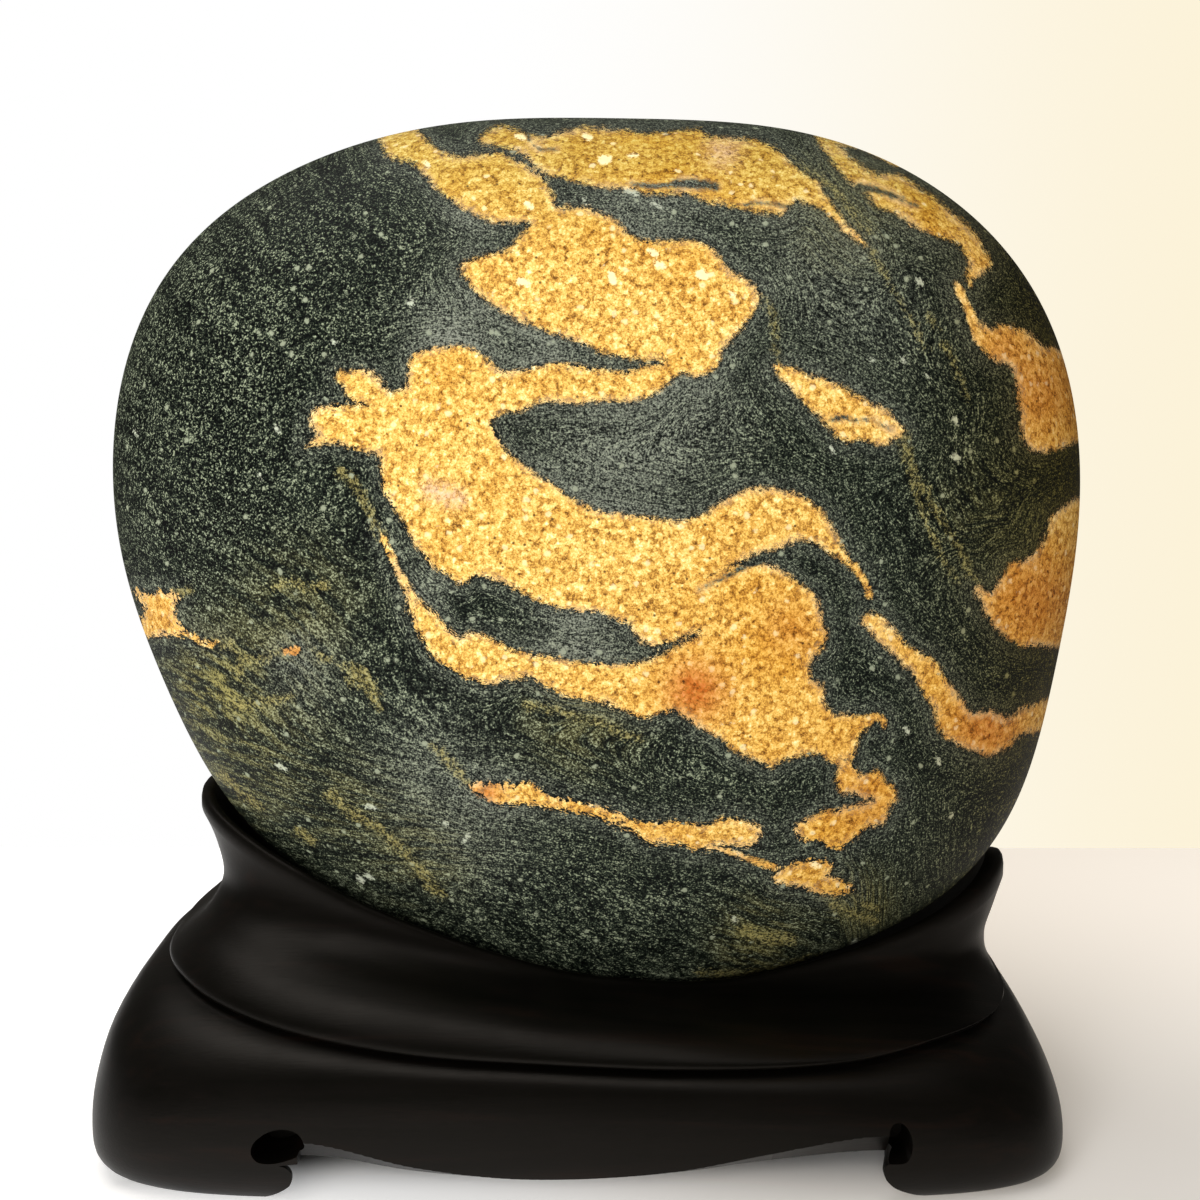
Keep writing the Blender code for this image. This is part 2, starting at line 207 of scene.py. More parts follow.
RIGHT_LOWER = (
    (1090, 500), (1057, 512), (1050, 527), (1041, 548), (1026, 561), (1009, 566), (1000, 583),
    (991, 594), (976, 586), (982, 603), (988, 615), (1000, 631), (1015, 642), (1037, 645),
    (1070, 640), (1092, 570),
)
RIGHT_STREAM = (
    (863, 620), (874, 614), (893, 631), (911, 649), (930, 660), (941, 675), (956, 694), (971, 714),
    (985, 712), (1000, 716), (1009, 720), (1019, 712), (1060, 698), (1056, 726), (1037, 731),
    (1019, 734), (1004, 749), (989, 754), (967, 747), (948, 738), (939, 729), (937, 712),
    (926, 694), (915, 675), (897, 657), (882, 642), (871, 631),
)
HOOK_MARK = (
    (840, 765), (850, 762), (856, 773), (864, 777), (875, 772), (886, 782), (896, 795), (889, 808),
    (883, 822), (870, 825), (856, 835), (846, 845), (832, 847), (822, 841), (806, 838), (796, 829),
    (810, 819), (825, 812), (840, 811), (856, 806), (870, 802), (877, 798), (865, 795), (850, 793),
    (840, 789), (837, 777),
)
LONG_STREAK = (
    (470, 786), (485, 784), (507, 786), (529, 784), (544, 794), (577, 803), (614, 812), (636, 823),
    (678, 823), (708, 825), (730, 819), (760, 829), (752, 845), (723, 845), (701, 849), (675, 843),
    (652, 842), (634, 831), (597, 816), (581, 812), (555, 808), (525, 803), (499, 803), (485, 797),
)
LOWER_MARK = (
    (776, 876), (788, 866), (807, 862), (822, 861), (831, 867), (826, 876), (841, 880), (852, 891),
    (838, 893), (820, 893), (805, 887), (790, 885), (779, 882),
)
LEFT_MARK = (
    (134, 592), (150, 595), (160, 593), (172, 594), (178, 599), (176, 606), (175, 615), (182, 626),
    (192, 635), (174, 634), (158, 635), (142, 637), (140, 625), (146, 612), (142, 602),
)
MARKS = (
    SWIRL, LENS, TOP_BAND, TOP_RIGHT_BAND, RIGHT_UPPER, RIGHT_LOWER, RIGHT_STREAM, HOOK_MARK,
    LONG_STREAK, LOWER_MARK, LEFT_MARK,
)

# Lines in photograph pixels, each with its half width at the start and at the end: ochre veins,
# faint broken traces, and dark slits through the marks
VEINS = (
    (((381, 535), (392, 557), (403, 582)), 2.0, 4.5),
    (((855, 566), (863, 580), (871, 598)), 4.0, 1.5),
    (((819, 137), (841, 142), (862, 147), (880, 156), (898, 166)), 2.5, 1.5),
    (((972, 276), (970, 282), (971, 287)), 2.0, 1.0),
    (((956, 284), (961, 294), (968, 309), (974, 325), (980, 342)), 3.0, 4.5),
    (((700, 842), (725, 850), (745, 858), (775, 868)), 2.0, 2.5),
    (((188, 634), (203, 643), (218, 643)), 3.0, 1.5),
    (((284, 652), (290, 650), (296, 651)), 2.0, 4.5),
    (((867, 722), (880, 716), (884, 728)), 5.0, 1.0),
    (((839, 760), (848, 768)), 3.0, 4.0),
)
TRACES = (
    (((174, 594), (190, 590)), 4.0, 2.0),
    (((210, 642), (222, 643), (232, 648), (243, 657)), 4.0, 3.0),
    (((358, 676), (367, 683), (373, 692), (379, 706)), 10.0, 3.5),
    (((340, 472), (359, 490), (370, 512), (381, 535)), 3.0, 4.0),
    (((758, 300), (768, 303), (774, 318), (776, 345), (781, 370)), 1.5, 2.0),
    (((792, 160), (812, 174), (832, 188), (848, 206), (858, 222), (866, 230)), 1.5, 2.5),
    (((903, 432), (915, 472), (930, 498), (948, 531), (971, 572), (980, 590)), 2.5, 1.5),
    (((896, 440), (908, 468), (918, 500), (936, 545), (955, 580)), 1.0, 1.0),
    (((433, 745), (448, 760), (470, 786)), 2.0, 4.0),
    (((832, 905), (850, 913), (874, 921)), 3.0, 3.0),
    (((858, 900), (876, 910)), 2.0, 2.0),
    (((243, 657), (240, 667), (241, 678)), 3.5, 2.0),
    (((243, 657), (256, 661), (270, 657), (283, 652)), 2.0, 2.5),
    (((315, 652), (335, 662), (352, 670)), 1.5, 2.0),
    (((525, 705), (562, 712), (599, 723), (640, 741)), 2.0, 2.5),
    (((272, 588), (295, 583), (310, 586), (328, 585)), 2.5, 2.0),
    (((238, 706), (262, 703), (290, 697)), 4.0, 2.0),
    (((222, 775), (240, 790), (262, 808)), 4.0, 2.5),
    (((298, 830), (312, 842)), 4.0, 3.0),
    (((330, 795), (352, 812), (378, 828), (398, 846), (420, 872), (442, 896)), 4.0, 3.5),
    (((745, 931), (765, 938), (790, 940)), 5.0, 4.0),
    (((700, 974), (740, 974), (780, 968), (820, 957)), 2.0, 2.0),
    (((930, 315), (938, 330)), 1.5, 1.0),
    (((945, 345), (960, 375), (968, 400)), 1.0, 1.0),
    (((870, 250), (900, 300), (925, 350)), 1.0, 1.0),
)
SLITS = (
    (((632, 184), (655, 186), (676, 184)), 1.5, 3.0),
    (((676, 184), (700, 184), (715, 187)), 5.0, 4.0),
    (((527, 135), (531, 143), (541, 149), (556, 150)), 1.2, 0.8),
    (((745, 205), (765, 203), (790, 207)), 1.0, 1.5),
    (((831, 419), (846, 418), (858, 421), (870, 419), (882, 425), (892, 430)), 2.5, 1.0),
    (((860, 187), (880, 191), (900, 198), (918, 207)), 4.0, 1.0),
    (((700, 590), (735, 572), (760, 560)), 1.0, 3.0),
)
FLECKS = (
    (((277, 765), (286, 769)), 4.0, 4.0), (((368, 806), (375, 808)), 5.0, 4.0),
    (((463, 841), (468, 836)), 4.0, 4.5), (((358, 877), (363, 881)), 4.0, 4.0),
    (((366, 875), (373, 878)), 4.0, 3.5), (((444, 822), (448, 826)), 3.5, 3.5),
    (((626, 190), (637, 194)), 4.5, 4.5), (((584, 199), (587, 203)), 3.5, 4.0),
    (((653, 203), (661, 208)), 4.0, 3.5), (((411, 299), (413, 306)), 4.0, 4.0),
    (((918, 280), (922, 284)), 4.5, 4.5), (((901, 357), (905, 364)), 3.5, 3.5),
    (((868, 358), (873, 360)), 3.5, 3.5), (((925, 374), (929, 377)), 3.5, 3.5),
    (((954, 418), (958, 423)), 4.5, 4.0), (((954, 456), (960, 459)), 5.0, 4.5),
    (((831, 447), (833, 453)), 4.0, 4.0), (((906, 729), (908, 733)), 4.0, 4.0),
    (((950, 819), (953, 813)), 3.5, 2.5), (((938, 759), (939, 764)), 4.0, 4.0),
    (((733, 918), (737, 921)), 4.0, 4.0), (((812, 864), (820, 866)), 4.5, 4.0),
    (((852, 943), (857, 941)), 3.5, 3.5), (((134, 431), (138, 434)), 4.0, 4.0),
    (((275, 427), (278, 431)), 4.0, 4.0), (((258, 474), (261, 479)), 3.5, 3.5),
    (((331, 341), (336, 343)), 4.0, 4.0), (((408, 303), (412, 300)), 3.5, 3.5),
    (((650, 251), (655, 254)), 5.0, 5.0), (((656, 263), (664, 267)), 5.0, 4.5),
    (((700, 274), (706, 276)), 6.5, 6.0), (((611, 274), (613, 281)), 5.5, 5.5),
    (((520, 281), (527, 283)), 6.0, 5.0), (((527, 204), (531, 207)), 5.0, 5.0),
    (((602, 160), (608, 159)), 6.0, 6.0), (((629, 156), (636, 155)), 4.0, 4.0),
    (((585, 136), (590, 138)), 5.0, 4.5), (((516, 136), (524, 138)), 4.0, 4.5),
    (((425, 162), (428, 166)), 4.5, 4.5), (((731, 293), (734, 297)), 4.5, 4.5),
)

# Soft spots in photograph pixels: middle, reach and strength
STAINS = (
    (695, 690, 22, 1.0), (790, 630, 20, 0.35), (1040, 390, 40, 0.55), (1035, 600, 44, 0.6),
    (988, 728, 30, 0.7), (376, 690, 10, 0.3), (292, 652, 9, 0.7), (160, 612, 14, 0.2),
    (486, 793, 12, 0.8), (865, 800, 24, 0.3), (1000, 345, 16, 0.3),
)
AMBERS = (
    (780, 650, 70, 0.9), (600, 155, 70, 0.8), (720, 165, 60, 0.9), (930, 210, 60, 1.0),
    (1040, 400, 60, 0.9), (1030, 600, 60, 0.9), (860, 800, 40, 1.0), (820, 880, 40, 1.0),
    (640, 830, 50, 0.6), (960, 720, 50, 0.9), (440, 370, 30, 0.3), (150, 610, 30, 0.6),
    (450, 170, 50, 0.5),
)
OLIVES = (
    (230, 700, 50, 0.4), (250, 780, 36, 0.25), (345, 805, 30, 0.3), (420, 855, 30, 0.3),
    (757, 932, 22, 0.45), (580, 720, 36, 0.3), (860, 905, 22, 0.6), (300, 600, 36, 0.25),
    (215, 692, 26, 0.6), (850, 200, 40, 0.4), (760, 965, 30, 0.25), (1000, 520, 40, 0.2),
)
ASHES = (
    (455, 330, 34, 0.7), (545, 345, 28, 0.5), (615, 465, 60, 0.6), (470, 215, 22, 0.4),
    (580, 640, 34, 0.6), (430, 590, 18, 0.3), (300, 670, 30, 0.4), (700, 400, 40, 0.35),
    (470, 820, 44, 0.35), (790, 245, 40, 0.2), (420, 760, 40, 0.3), (850, 300, 60, 0.3),
    (650, 210, 40, 0.4),
)
FLOW_CENTRE = (396, 770)
FLOW_START = 410.0
EVENS = ((200, 330, 90, 1.0), (180, 470, 70, 0.9), (300, 250, 60, 0.5))
BLUSHES = ((430, 489, 7, 0.7), (446, 495, 8, 0.8), (460, 499, 6, 0.7), (722, 152, 11, 0.6))


def smooth_through(anchors, at):
    """Reads a smooth curve through (position, value) anchors, level at both ends."""
    last = len(anchors) - 1
    at = min(max(at, anchors[0][0]), anchors[last][0])
    step = 0
    while step < last - 1 and at > anchors[step + 1][0]:
        step += 1

    def slope(index):
        if index in (0, last):
            return 0.0
        before, after = anchors[index - 1], anchors[index + 1]
        return (after[1] - before[1]) / (after[0] - before[0])

    (x0, y0), (x1, y1) = anchors[step], anchors[step + 1]
    width = x1 - x0
    t = (at - x0) / width
    rise0, rise1 = slope(step) * width, slope(step + 1) * width
    square, cube = t * t, t * t * t
    return (
        y0 * (2 * cube - 3 * square + 1)
        + rise0 * (cube - 2 * square + t)
        + y1 * (3 * square - 2 * cube)
        + rise1 * (cube - square)
    )


def outline_radius(angle):
    """The stone outline's radius at each angle, by the waves that pass through the radii."""
    count = len(OUTLINE_RADII)
    radii = np.array(OUTLINE_RADII)
    places = 2 * np.pi * np.arange(count) / count
    total = np.zeros_like(angle)
    for wave in range(count // 2 + 1):
        share = (1 if wave in (0, count // 2) else 2) / count
        cosine = share * np.sum(radii * np.cos(wave * places))
        sine = share * np.sum(radii * np.sin(wave * places))
        total += cosine * np.cos(wave * angle) + sine * np.sin(wave * angle)
    return total


def inside_stone(x, y, z):
    dx, dz = x - STONE_MIDDLE_X, z - STONE_MIDDLE_Z
    share = np.hypot(dx, dz) / outline_radius(np.arctan2(dz, dx))
    return share ** EDGE_POWER + (np.abs(y) / STONE_HALF_DEPTH) ** FACE_POWER < 1


def last_inside(test, low, high):
    """Halves the spans from low, where the test holds, to high, where it fails."""
    for _ in range(26):
        middle = (low + high) / 2
        inside = test(middle)
        low = np.where(inside, middle, low)
        high = np.where(inside, high, middle)
    return low


def stone_underside(x, y):
    middle = np.full_like(x, STONE_MIDDLE_Z)
    return last_inside(lambda z: inside_stone(x, y, z), middle, np.zeros_like(x))


# ---- stone ----


def geodesic_sphere(splits):
    """Splits an icosahedron's faces into small triangles on the unit sphere."""
    shape = bmesh.new()
    bmesh.ops.create_icosphere(shape, subdivisions=1, radius=1.0)
    corners = [[np.array(v.co) for v in face.verts] for face in shape.faces]
    shape.free()
    steps = [(i, j) for i in range(splits + 1) for j in range(splits + 1 - i)]
    place = {pair: index for index, pair in enumerate(steps)}
    shares = np.array([((splits - i - j), i, j) for i, j in steps]) / splits
    triangles = []
    for i, j in steps:
        if i + j < splits:
            triangles.append((place[i, j], place[i + 1, j], place[i, j + 1]))
        if i + j < splits - 1:
            triangles.append((place[i + 1, j], place[i + 1, j + 1], place[i, j + 1]))
    triangles = np.array(triangles)
    points = np.concatenate([shares @ np.array(three) for three in corners])
    points /= np.linalg.norm(points, axis=1)[:, None]
    faces = np.concatenate([triangles + k * len(steps) for k in range(len(corners))])
    keys = np.round(points, 6) + 0.0
    _, first, back = np.unique(keys, axis=0, return_index=True, return_inverse=True)
    return points[first], back.reshape(-1)[faces]


def pull_to_front(points):
    """Draws the sphere's points together towards -Y, where the markings need them."""
    x, y, z = points.T
    front = 1 - y
    back = FRONT_PULL**2 * (1 + y)
    pulled = np.stack([2 * FRONT_PULL * x, back - front, 2 * FRONT_PULL * z], axis=1)
    return pulled / (front + back)[:, None]


def stone_points(sphere):
    """Moves unit sphere points out to the stone's surface, in millimetres."""
    x, y, z = sphere.T
    angle = np.arctan2(z, x)
    radius = STONE_TRIM * outline_radius(angle) * np.hypot(x, z) ** (2 / EDGE_POWER)
    depth = STONE_TRIM * STONE_HALF_DEPTH * np.sign(y) * np.abs(y) ** (2 / FACE_POWER)
    across = STONE_MIDDLE_X + radius * np.cos(angle)
    up = STONE_MIDDLE_Z + radius * np.sin(angle)
    return np.stack([across, depth, up], axis=1)


def photo_pixels(points):
    """Where the camera shows points given in millimetres, in photograph pixels."""
    pitch = math.radians(CAMERA_PITCH)
    forward = np.array((0.0, math.cos(pitch), -math.sin(pitch)))
    upward = np.array((0.0, math.sin(pitch), math.cos(pitch)))
    rays = points - np.array(CAMERA_PLACE)
    distance = rays @ forward
    across = PHOTO_SIZE / 2 + FOCAL_PIXELS * rays[:, 0] / distance
    down = PHOTO_SIZE / 2 - FOCAL_PIXELS * (rays @ upward) / distance
    return np.stack([across, down], axis=1)


def rounded_path(points, closed, parts=3):
    """Adds points along a smooth curve through the given ones."""
    points = np.array(points, float)
    count = len(points)
    if closed:
        before, after, later = (np.roll(points, shift, axis=0) for shift in (1, -1, -2))
    else:
        padded = np.concatenate([points[:1], points, points[-1:]])
        before, after, later = padded[:-3], padded[2:-1], padded[3:]
        points = points[:-1]
    path = []
    for step in range(parts):
        t = step / parts
        path.append(
            0.5
            * (
                2 * points
                + (after - before) * t
                + (2 * before - 5 * points + 4 * after - later) * t**2
                + (3 * points - before - 3 * after + later) * t**3
            )
        )
    path = np.stack(path, axis=1).reshape(-1, 2)
    return path if closed else np.concatenate([path, padded[-1:]])


def segment_distances(places, starts, ends):
    """Distance from each place to its nearest segment, and the share along the whole path."""
    nearest = np.full(len(places), 1e9)
    share = np.zeros(len(places))
    for index, (start, end) in enumerate(zip(starts, ends)):
        span = end - start
        along = ((places - start) @ span) / max(span @ span, 1e-9)
        along = along.clip(0, 1)
        gap = places - start - along[:, None] * span
        distance = np.hypot(gap[:, 0], gap[:, 1])
        closer = distance < nearest
        nearest[closer] = distance[closer]
        share[closer] = (index + along[closer]) / len(starts)
    return nearest, share


def mark_distance(places, outline):
    """Signed distance to a closed outline, positive inside, in pixels."""
    path = rounded_path(outline, True)
    ends = np.roll(path, -1, axis=0)
    low, high = path.min(axis=0) - 60, path.max(axis=0) + 60
    near = np.all((places > low) & (places < high), axis=1)
    signed = np.full(len(places), -60.0)
    close = places[near]
    distance, _ = segment_distances(close, path, ends)
    inside = np.zeros(len(close), bool)
    for (x0, y0), (x1, y1) in zip(path, ends):
        crosses = (close[:, 1] < y0) != (close[:, 1] < y1)
        if y0 != y1:
            inside ^= crosses & (close[:, 0] < x0 + (close[:, 1] - y0) / (y1 - y0) * (x1 - x0))
    signed[near] = np.maximum(np.where(inside, distance, -distance), -60)
    return signed


def vein_distance(places, line, start_width, end_width):
    path = rounded_path(line, False)
    low, high = path.min(axis=0) - 60, path.max(axis=0) + 60
    near = np.all((places > low) & (places < high), axis=1)
    signed = np.full(len(places), -60.0)
    distance, share = segment_distances(places[near], path[:-1], path[1:])
    signed[near] = np.maximum(start_width + (end_width - start_width) * share - distance, -60)
    return signed


def spots(places, listed):
    """Adds up soft round spots."""
    total = np.zeros(len(places))
    for x, y, reach, strength in listed:
        square = ((places - np.array((x, y))) ** 2).sum(axis=1)
        total += strength * np.exp(-square / (2 * reach**2))
    return total


def face_normals_of_points(points, faces):
    a, b, c = (points[faces[:, k]] for k in range(3))
    across = np.cross(b - a, c - a)
    normals = np.zeros_like(points)
    for k in range(3):
        np.add.at(normals, faces[:, k], across)
    return normals / np.linalg.norm(normals, axis=1)[:, None]


def pattern_places(points, normals):
    """Pixels that each point takes its marking from.

    Away from the camera the markings go on round the stone, turned and drawn together.
    """
    pixels = photo_pixels(points)
    rays = np.array(CAMERA_PLACE) - points
    rays /= np.linalg.norm(rays, axis=1)[:, None]
    away = (-(rays * normals).sum(axis=1)).clip(0, 1)
    middle = photo_pixels(np.array([[STONE_MIDDLE_X, 0.0, STONE_MIDDLE_Z]]))[0]
    turn = 1.25 * away**1.3
    offset = (pixels - middle) * (1 - 0.2 * away)[:, None]
    turned = np.stack(
        [
            offset[:, 0] * np.cos(turn) - offset[:, 1] * np.sin(turn),
            offset[:, 0] * np.sin(turn) + offset[:, 1] * np.cos(turn),
        ],
        axis=1,
    )
    drift = np.stack([40 * away**2, -30 * away**2], axis=1)
    places = middle + turned + drift
    sway = np.array([noise.noise_vector(Vector(p) / 22.0) for p in points])
    strength = 26 * (away * 2).clip(0, 1)
    return places + sway[:, [0, 2]] * strength[:, None], away


def flow_levels(places, distances):
    """A smooth level whose lines run like the stone's streaks and part round the marks."""
    x, y = places.T
    curl = np.hypot(x - FLOW_CENTRE[0], y - FLOW_CENTRE[1])
    share = ((x - 450) / 300).clip(0, 1)
    share = share * share * (3 - 2 * share)
    low = ((y - 740) / 130).clip(0, 1) * ((960 - x) / 120).clip(0, 1)
    slant = FLOW_START - (0.82 + 0.1 * low) * y + (0.57 - 0.2 * low) * x
    share *= 1 - low
    level = (curl * share + slant * (1 - share)) / PIXELS_PER_MM
    level += 2.2 * np.sin(x / 61.0 + y / 97.0) + 1.4 * np.sin(y / 37.0 - x / 83.0)
    weight = 0.85 * np.exp(-np.abs(distances) / 20.0)
    return level * (1 - weight) + (distances / PIXELS_PER_MM * 1.2) * weight


def make_object(name, mesh):
    made = bpy.data.objects.new(name, mesh)
    bpy.context.scene.collection.objects.link(made)
    return made


def mesh_from(name, points, faces):
    mesh = bpy.data.meshes.new(name)
    mesh.vertices.add(len(points))
    mesh.vertices.foreach_set("co", (points * MM).astype(np.float32).ravel())
    mesh.loops.add(faces.size)
    mesh.loops.foreach_set("vertex_index", faces.astype(np.int32).ravel())
    mesh.polygons.add(len(faces))
    mesh.polygons.foreach_set("loop_start", np.arange(0, faces.size, faces.shape[1], dtype=np.int32))
    mesh.update(calc_edges=True)
    mesh.validate()
    return mesh


def set_values(mesh, name, values):
    attribute = mesh.attributes.new(name, "FLOAT", "POINT")
    attribute.data.foreach_set("value", values.astype(np.float32))


def make_stone():
    sphere, faces = geodesic_sphere(STONE_SPLITS)
    points = stone_points(pull_to_front(sphere))
    a, b, c = (points[faces[:5000, k]] for k in range(3))
    outward = (np.cross(b - a, c - a) * (a - np.array((0, 0, STONE_MIDDLE_Z)))).sum(axis=1)
    if outward.sum() < 0:
        faces = faces[:, ::-1]
    normals = face_normals_of_points(points, faces)
    places, away = pattern_places(points, normals)
    distances = np.full(len(points), -60.0)
    for outline in MARKS:
        distances = np.maximum(distances, mark_distance(places, outline))
    veins, traces, slits, flecks = (
        np.max([vein_distance(places, *line) for line in lines], axis=0)
        for lines in (VEINS, TRACES, SLITS, FLECKS)
    )
    mesh = mesh_from("river_stone", points, faces)
    set_values(mesh, "mark", distances / PIXELS_PER_MM)
    set_values(mesh, "vein", veins / PIXELS_PER_MM)
    set_values(mesh, "trace", traces / PIXELS_PER_MM)
    set_values(mesh, "slit", slits / PIXELS_PER_MM)
    set_values(mesh, "fleck", flecks / PIXELS_PER_MM)
    set_values(mesh, "amber", spots(places, AMBERS))
    set_values(mesh, "flow", flow_levels(places, distances))
    set_values(mesh, "stain", spots(places, STAINS))
    set_values(mesh, "olive", spots(places, OLIVES))
    set_values(mesh, "blush", spots(places, BLUSHES))
    set_values(mesh, "ashen", spots(places, ASHES))
    set_values(mesh, "drawn", 1 - spots(places, EVENS).clip(0, 1))
    for polygon in mesh.polygons:
        polygon.use_smooth = True
    return make_object("river_stone", mesh)


# ---- stand ----


def ring_point(turn, plan):
    """A point of a rounded rectangle given by its left, right and front reach and its power."""
    left, right, front, power = plan
    across, along = math.cos(turn), math.sin(turn)
    size = (abs(across) ** power + abs(along) ** power) ** (-1 / power)
    reach = right if across > 0 else left
    return STAND_MIDDLE_X + reach * size * across, front * size * along


def plan_direction(turn):
    x, y = math.cos(turn), PLAN_RATIO * math.sin(turn)
    length = math.hypot(x, y)
    return x / length, y / length


def spline(rows, samples):
    """Points along a smooth curve through 3D rows, spaced by the distance between them."""
    rows = np.array(rows, float)
    gaps = np.linalg.norm(np.diff(rows, axis=0), axis=1)
    at = np.concatenate([[0], np.cumsum(np.sqrt(gaps))])
    slopes = np.zeros_like(rows)
    slopes[1:-1] = (
        np.diff(rows, axis=0)[:-1] / np.diff(at)[:-1, None] * np.diff(at)[1:, None]
        + np.diff(rows, axis=0)[1:] / np.diff(at)[1:, None] * np.diff(at)[:-1, None]
    ) / (at[2:] - at[:-2])[:, None]
    slopes[0] = 2 * (rows[1] - rows[0]) / at[1] - slopes[1]
    slopes[-1] = 2 * (rows[-1] - rows[-2]) / (at[-1] - at[-2]) - slopes[-2]
    positions = np.linspace(0, at[-1], samples)
    step = np.searchsorted(at, positions, side="right").clip(1, len(rows) - 1) - 1
    width = (at[step + 1] - at[step])[:, None]
    t = ((positions - at[step])[:, None]) / width
    return (
        rows[step] * (2 * t**3 - 3 * t**2 + 1)
        + slopes[step] * width * (t**3 - 2 * t**2 + t)
        + rows[step + 1] * (3 * t**2 - 2 * t**3)
        + slopes[step + 1] * width * (t**3 - t**2)
    )


def stand_profile(turn, inner):
    """One station of the stand: its points from the recess, over the lip, down into the seat."""
    degrees = abs(math.degrees(turn))
    crease = smooth_through(CREASE_HEIGHT, degrees)
    rim = smooth_through(RIM_HEIGHT, degrees)
    flare = smooth_through(TIP_FLARE, degrees)
    thickness = smooth_through(LIP_THICKNESS, degrees)
    end_share = math.cos(turn) ** 2
    direction = plan_direction(turn)
    outward = Vector((direction[0], direction[1], 0.0))

    def moved(point, out, up):
        return (point[0] + outward.x * out, point[1] + outward.y * out, point[2] + up)

    def lip_point(reach, height):
        return (STAND_MIDDLE_X + reach * direction[0], reach * direction[1], height)

    base = [
        (*ring_point(turn, (left, right, front, power)), crease * share)
        for left, right, front, power, share in BASE_ROWS
    ]
    top = base[-1]
    base[-1] = moved(top, 0.2, -0.7)
    recess = [
        (*ring_point(turn, RECESS_PLAN), RECESS_CEILING),
        (*ring_point(turn, RECESS_PLAN), RECESS_CEILING / 2),
        (*ring_point(turn, RECESS_PLAN), 0.0),
    ]
    groove = [moved(top, -0.5, -0.35), moved(top, -1.1, -0.1), moved(top, -1.2, 0.15), moved(top, -0.9, 0.3)]

    bead = ring_point(turn, BEAD_PLAN)
    cup = []
    for share, pulled_in, front_rise, left_rise, right_rise in CUP_ROWS:
        end_rise = right_rise if direction[0] > 0 else left_rise
        x = STAND_MIDDLE_X + (inner + thickness) * direction[0]
        y = (inner + thickness) * direction[1]
        x += (bead[0] - x) * share - direction[0] * pulled_in * flare
        y += (bead[1] - y) * share - direction[1] * pulled_in * flare
        rise = front_rise + (end_rise - front_rise) * end_share
        cup.append((x, y, crease + (rim - crease) * rise))
    roll = (bead[0], bead[1], crease)
    body = [
        moved(roll, -0.75, 0.32),
        moved(roll, 0.1, 0.75),
        moved(roll, 0.45, 1.5),
        moved(cup[0], -0.15, 0.7),
        *cup[1:],
    ]
    lip = [
        cup[-1],
        lip_point(inner + thickness * 0.86, rim - 0.5),
        lip_point(inner + thickness * 0.6, rim - 0.02),
        lip_point(inner + thickness * 0.25, rim - 0.15),
        lip_point(inner + thickness * 0.04, rim - 0.6),
        lip_point(inner, rim - LIP_DROP),
    ]
    return recess, base, groove, body, lip, rim, end_share, direction


def stand_rows():
    turns = [2 * math.pi * station / STATIONS - math.pi for station in range(STATIONS)]
    directions = np.array([plan_direction(turn) for turn in turns])
    rims = np.array([smooth_through(RIM_HEIGHT, abs(math.degrees(turn))) for turn in turns])
    gaps = np.array([smooth_through(SEAT_GAP, abs(math.degrees(turn))) for turn in turns])
    reach = last_inside(
        lambda r: inside_stone(STAND_MIDDLE_X + r * directions[:, 0], r * directions[:, 1], rims),
        np.zeros(STATIONS),
        np.full(STATIONS, 2 * STONE_HALF_DEPTH + 50),
    )
    inner = reach + gaps
    columns = []
    for place, turn in enumerate(turns):
        recess, base, groove, body, lip, rim, end_share, direction = stand_profile(turn, inner[place])
        outside = np.concatenate(
            [
                np.array(recess),
                spline(base, BASE_SAMPLES),
                np.array(groove),
                spline(body, CUP_SAMPLES)[:-1],
                spline(lip, LIP_SAMPLES),
            ]
        )
        columns.append(outside)
    columns = np.array(columns)
    edge = columns[:, -1, :2]
    edge_gap = stone_underside(edge[:, 0], edge[:, 1]) - columns[:, -1, 2]
    end_share = np.array([math.cos(turn) ** 2 for turn in turns])
    seat = []
    for step in np.linspace(0, 1, SEAT_SAMPLES + 2)[1:-1]:
        x = edge[:, 0] + (STAND_MIDDLE_X - edge[:, 0]) * step
        y = edge[:, 1] * (1 - step)
        gap = SEAT_BOTTOM_GAP + (edge_gap - SEAT_BOTTOM_GAP) * (1 - step) ** 1.5
        gap += SEAT_HOLLOW * end_share * math.sin(math.pi * step)
        seat.append(np.stack([x, y, stone_underside(x, y) - gap], axis=1))
    return np.concatenate([columns, np.stack(seat, axis=1)], axis=1)


def make_stand_body():
    """Lofts the stand round its stations and closes the recess and the seat."""
    columns = stand_rows()
    stations, rows, _ = columns.shape
    shape = bmesh.new()
    grid = [[shape.verts.new(columns[s, r] * MM) for s in range(stations)] for r in range(rows)]
    for lower, upper in zip(grid, grid[1:]):
        for place in range(stations):
            after = (place + 1) % stations
            shape.faces.new((lower[place], lower[after], upper[after], upper[place]))
    ceiling = shape.verts.new((STAND_MIDDLE_X * MM, 0.0, RECESS_CEILING * MM))
    middle = stone_underside(np.array([STAND_MIDDLE_X]), np.zeros(1))[0] - SEAT_BOTTOM_GAP
    floor = shape.verts.new((STAND_MIDDLE_X * MM, 0.0, middle * MM))
    for place in range(stations):
        after = (place + 1) % stations
        shape.faces.new((grid[0][after], grid[0][place], ceiling))
        shape.faces.new((grid[-1][place], grid[-1][after], floor))
    mesh = bpy.data.meshes.new("carved_stand")
    bmesh.ops.recalc_face_normals(shape, faces=shape.faces)
    shape.to_mesh(mesh)
    shape.free()
    return make_object("carved_stand", mesh)


def arch_points(arch, lift=0.0):
    """Samples the apron's lower edge, raised by a lift that grows towards the toes."""
    start, end = arch[0][0], arch[-1][0]
    points = []
    for step in range(ARCH_STEPS + 1):
        across = start + (end - start) * step / ARCH_STEPS
        share = BEVEL_LEAST + (1 - BEVEL_LEAST) * min((across / end) ** 2, 1)
        points.append((across, smooth_through(arch, across) + lift * share))
    return points


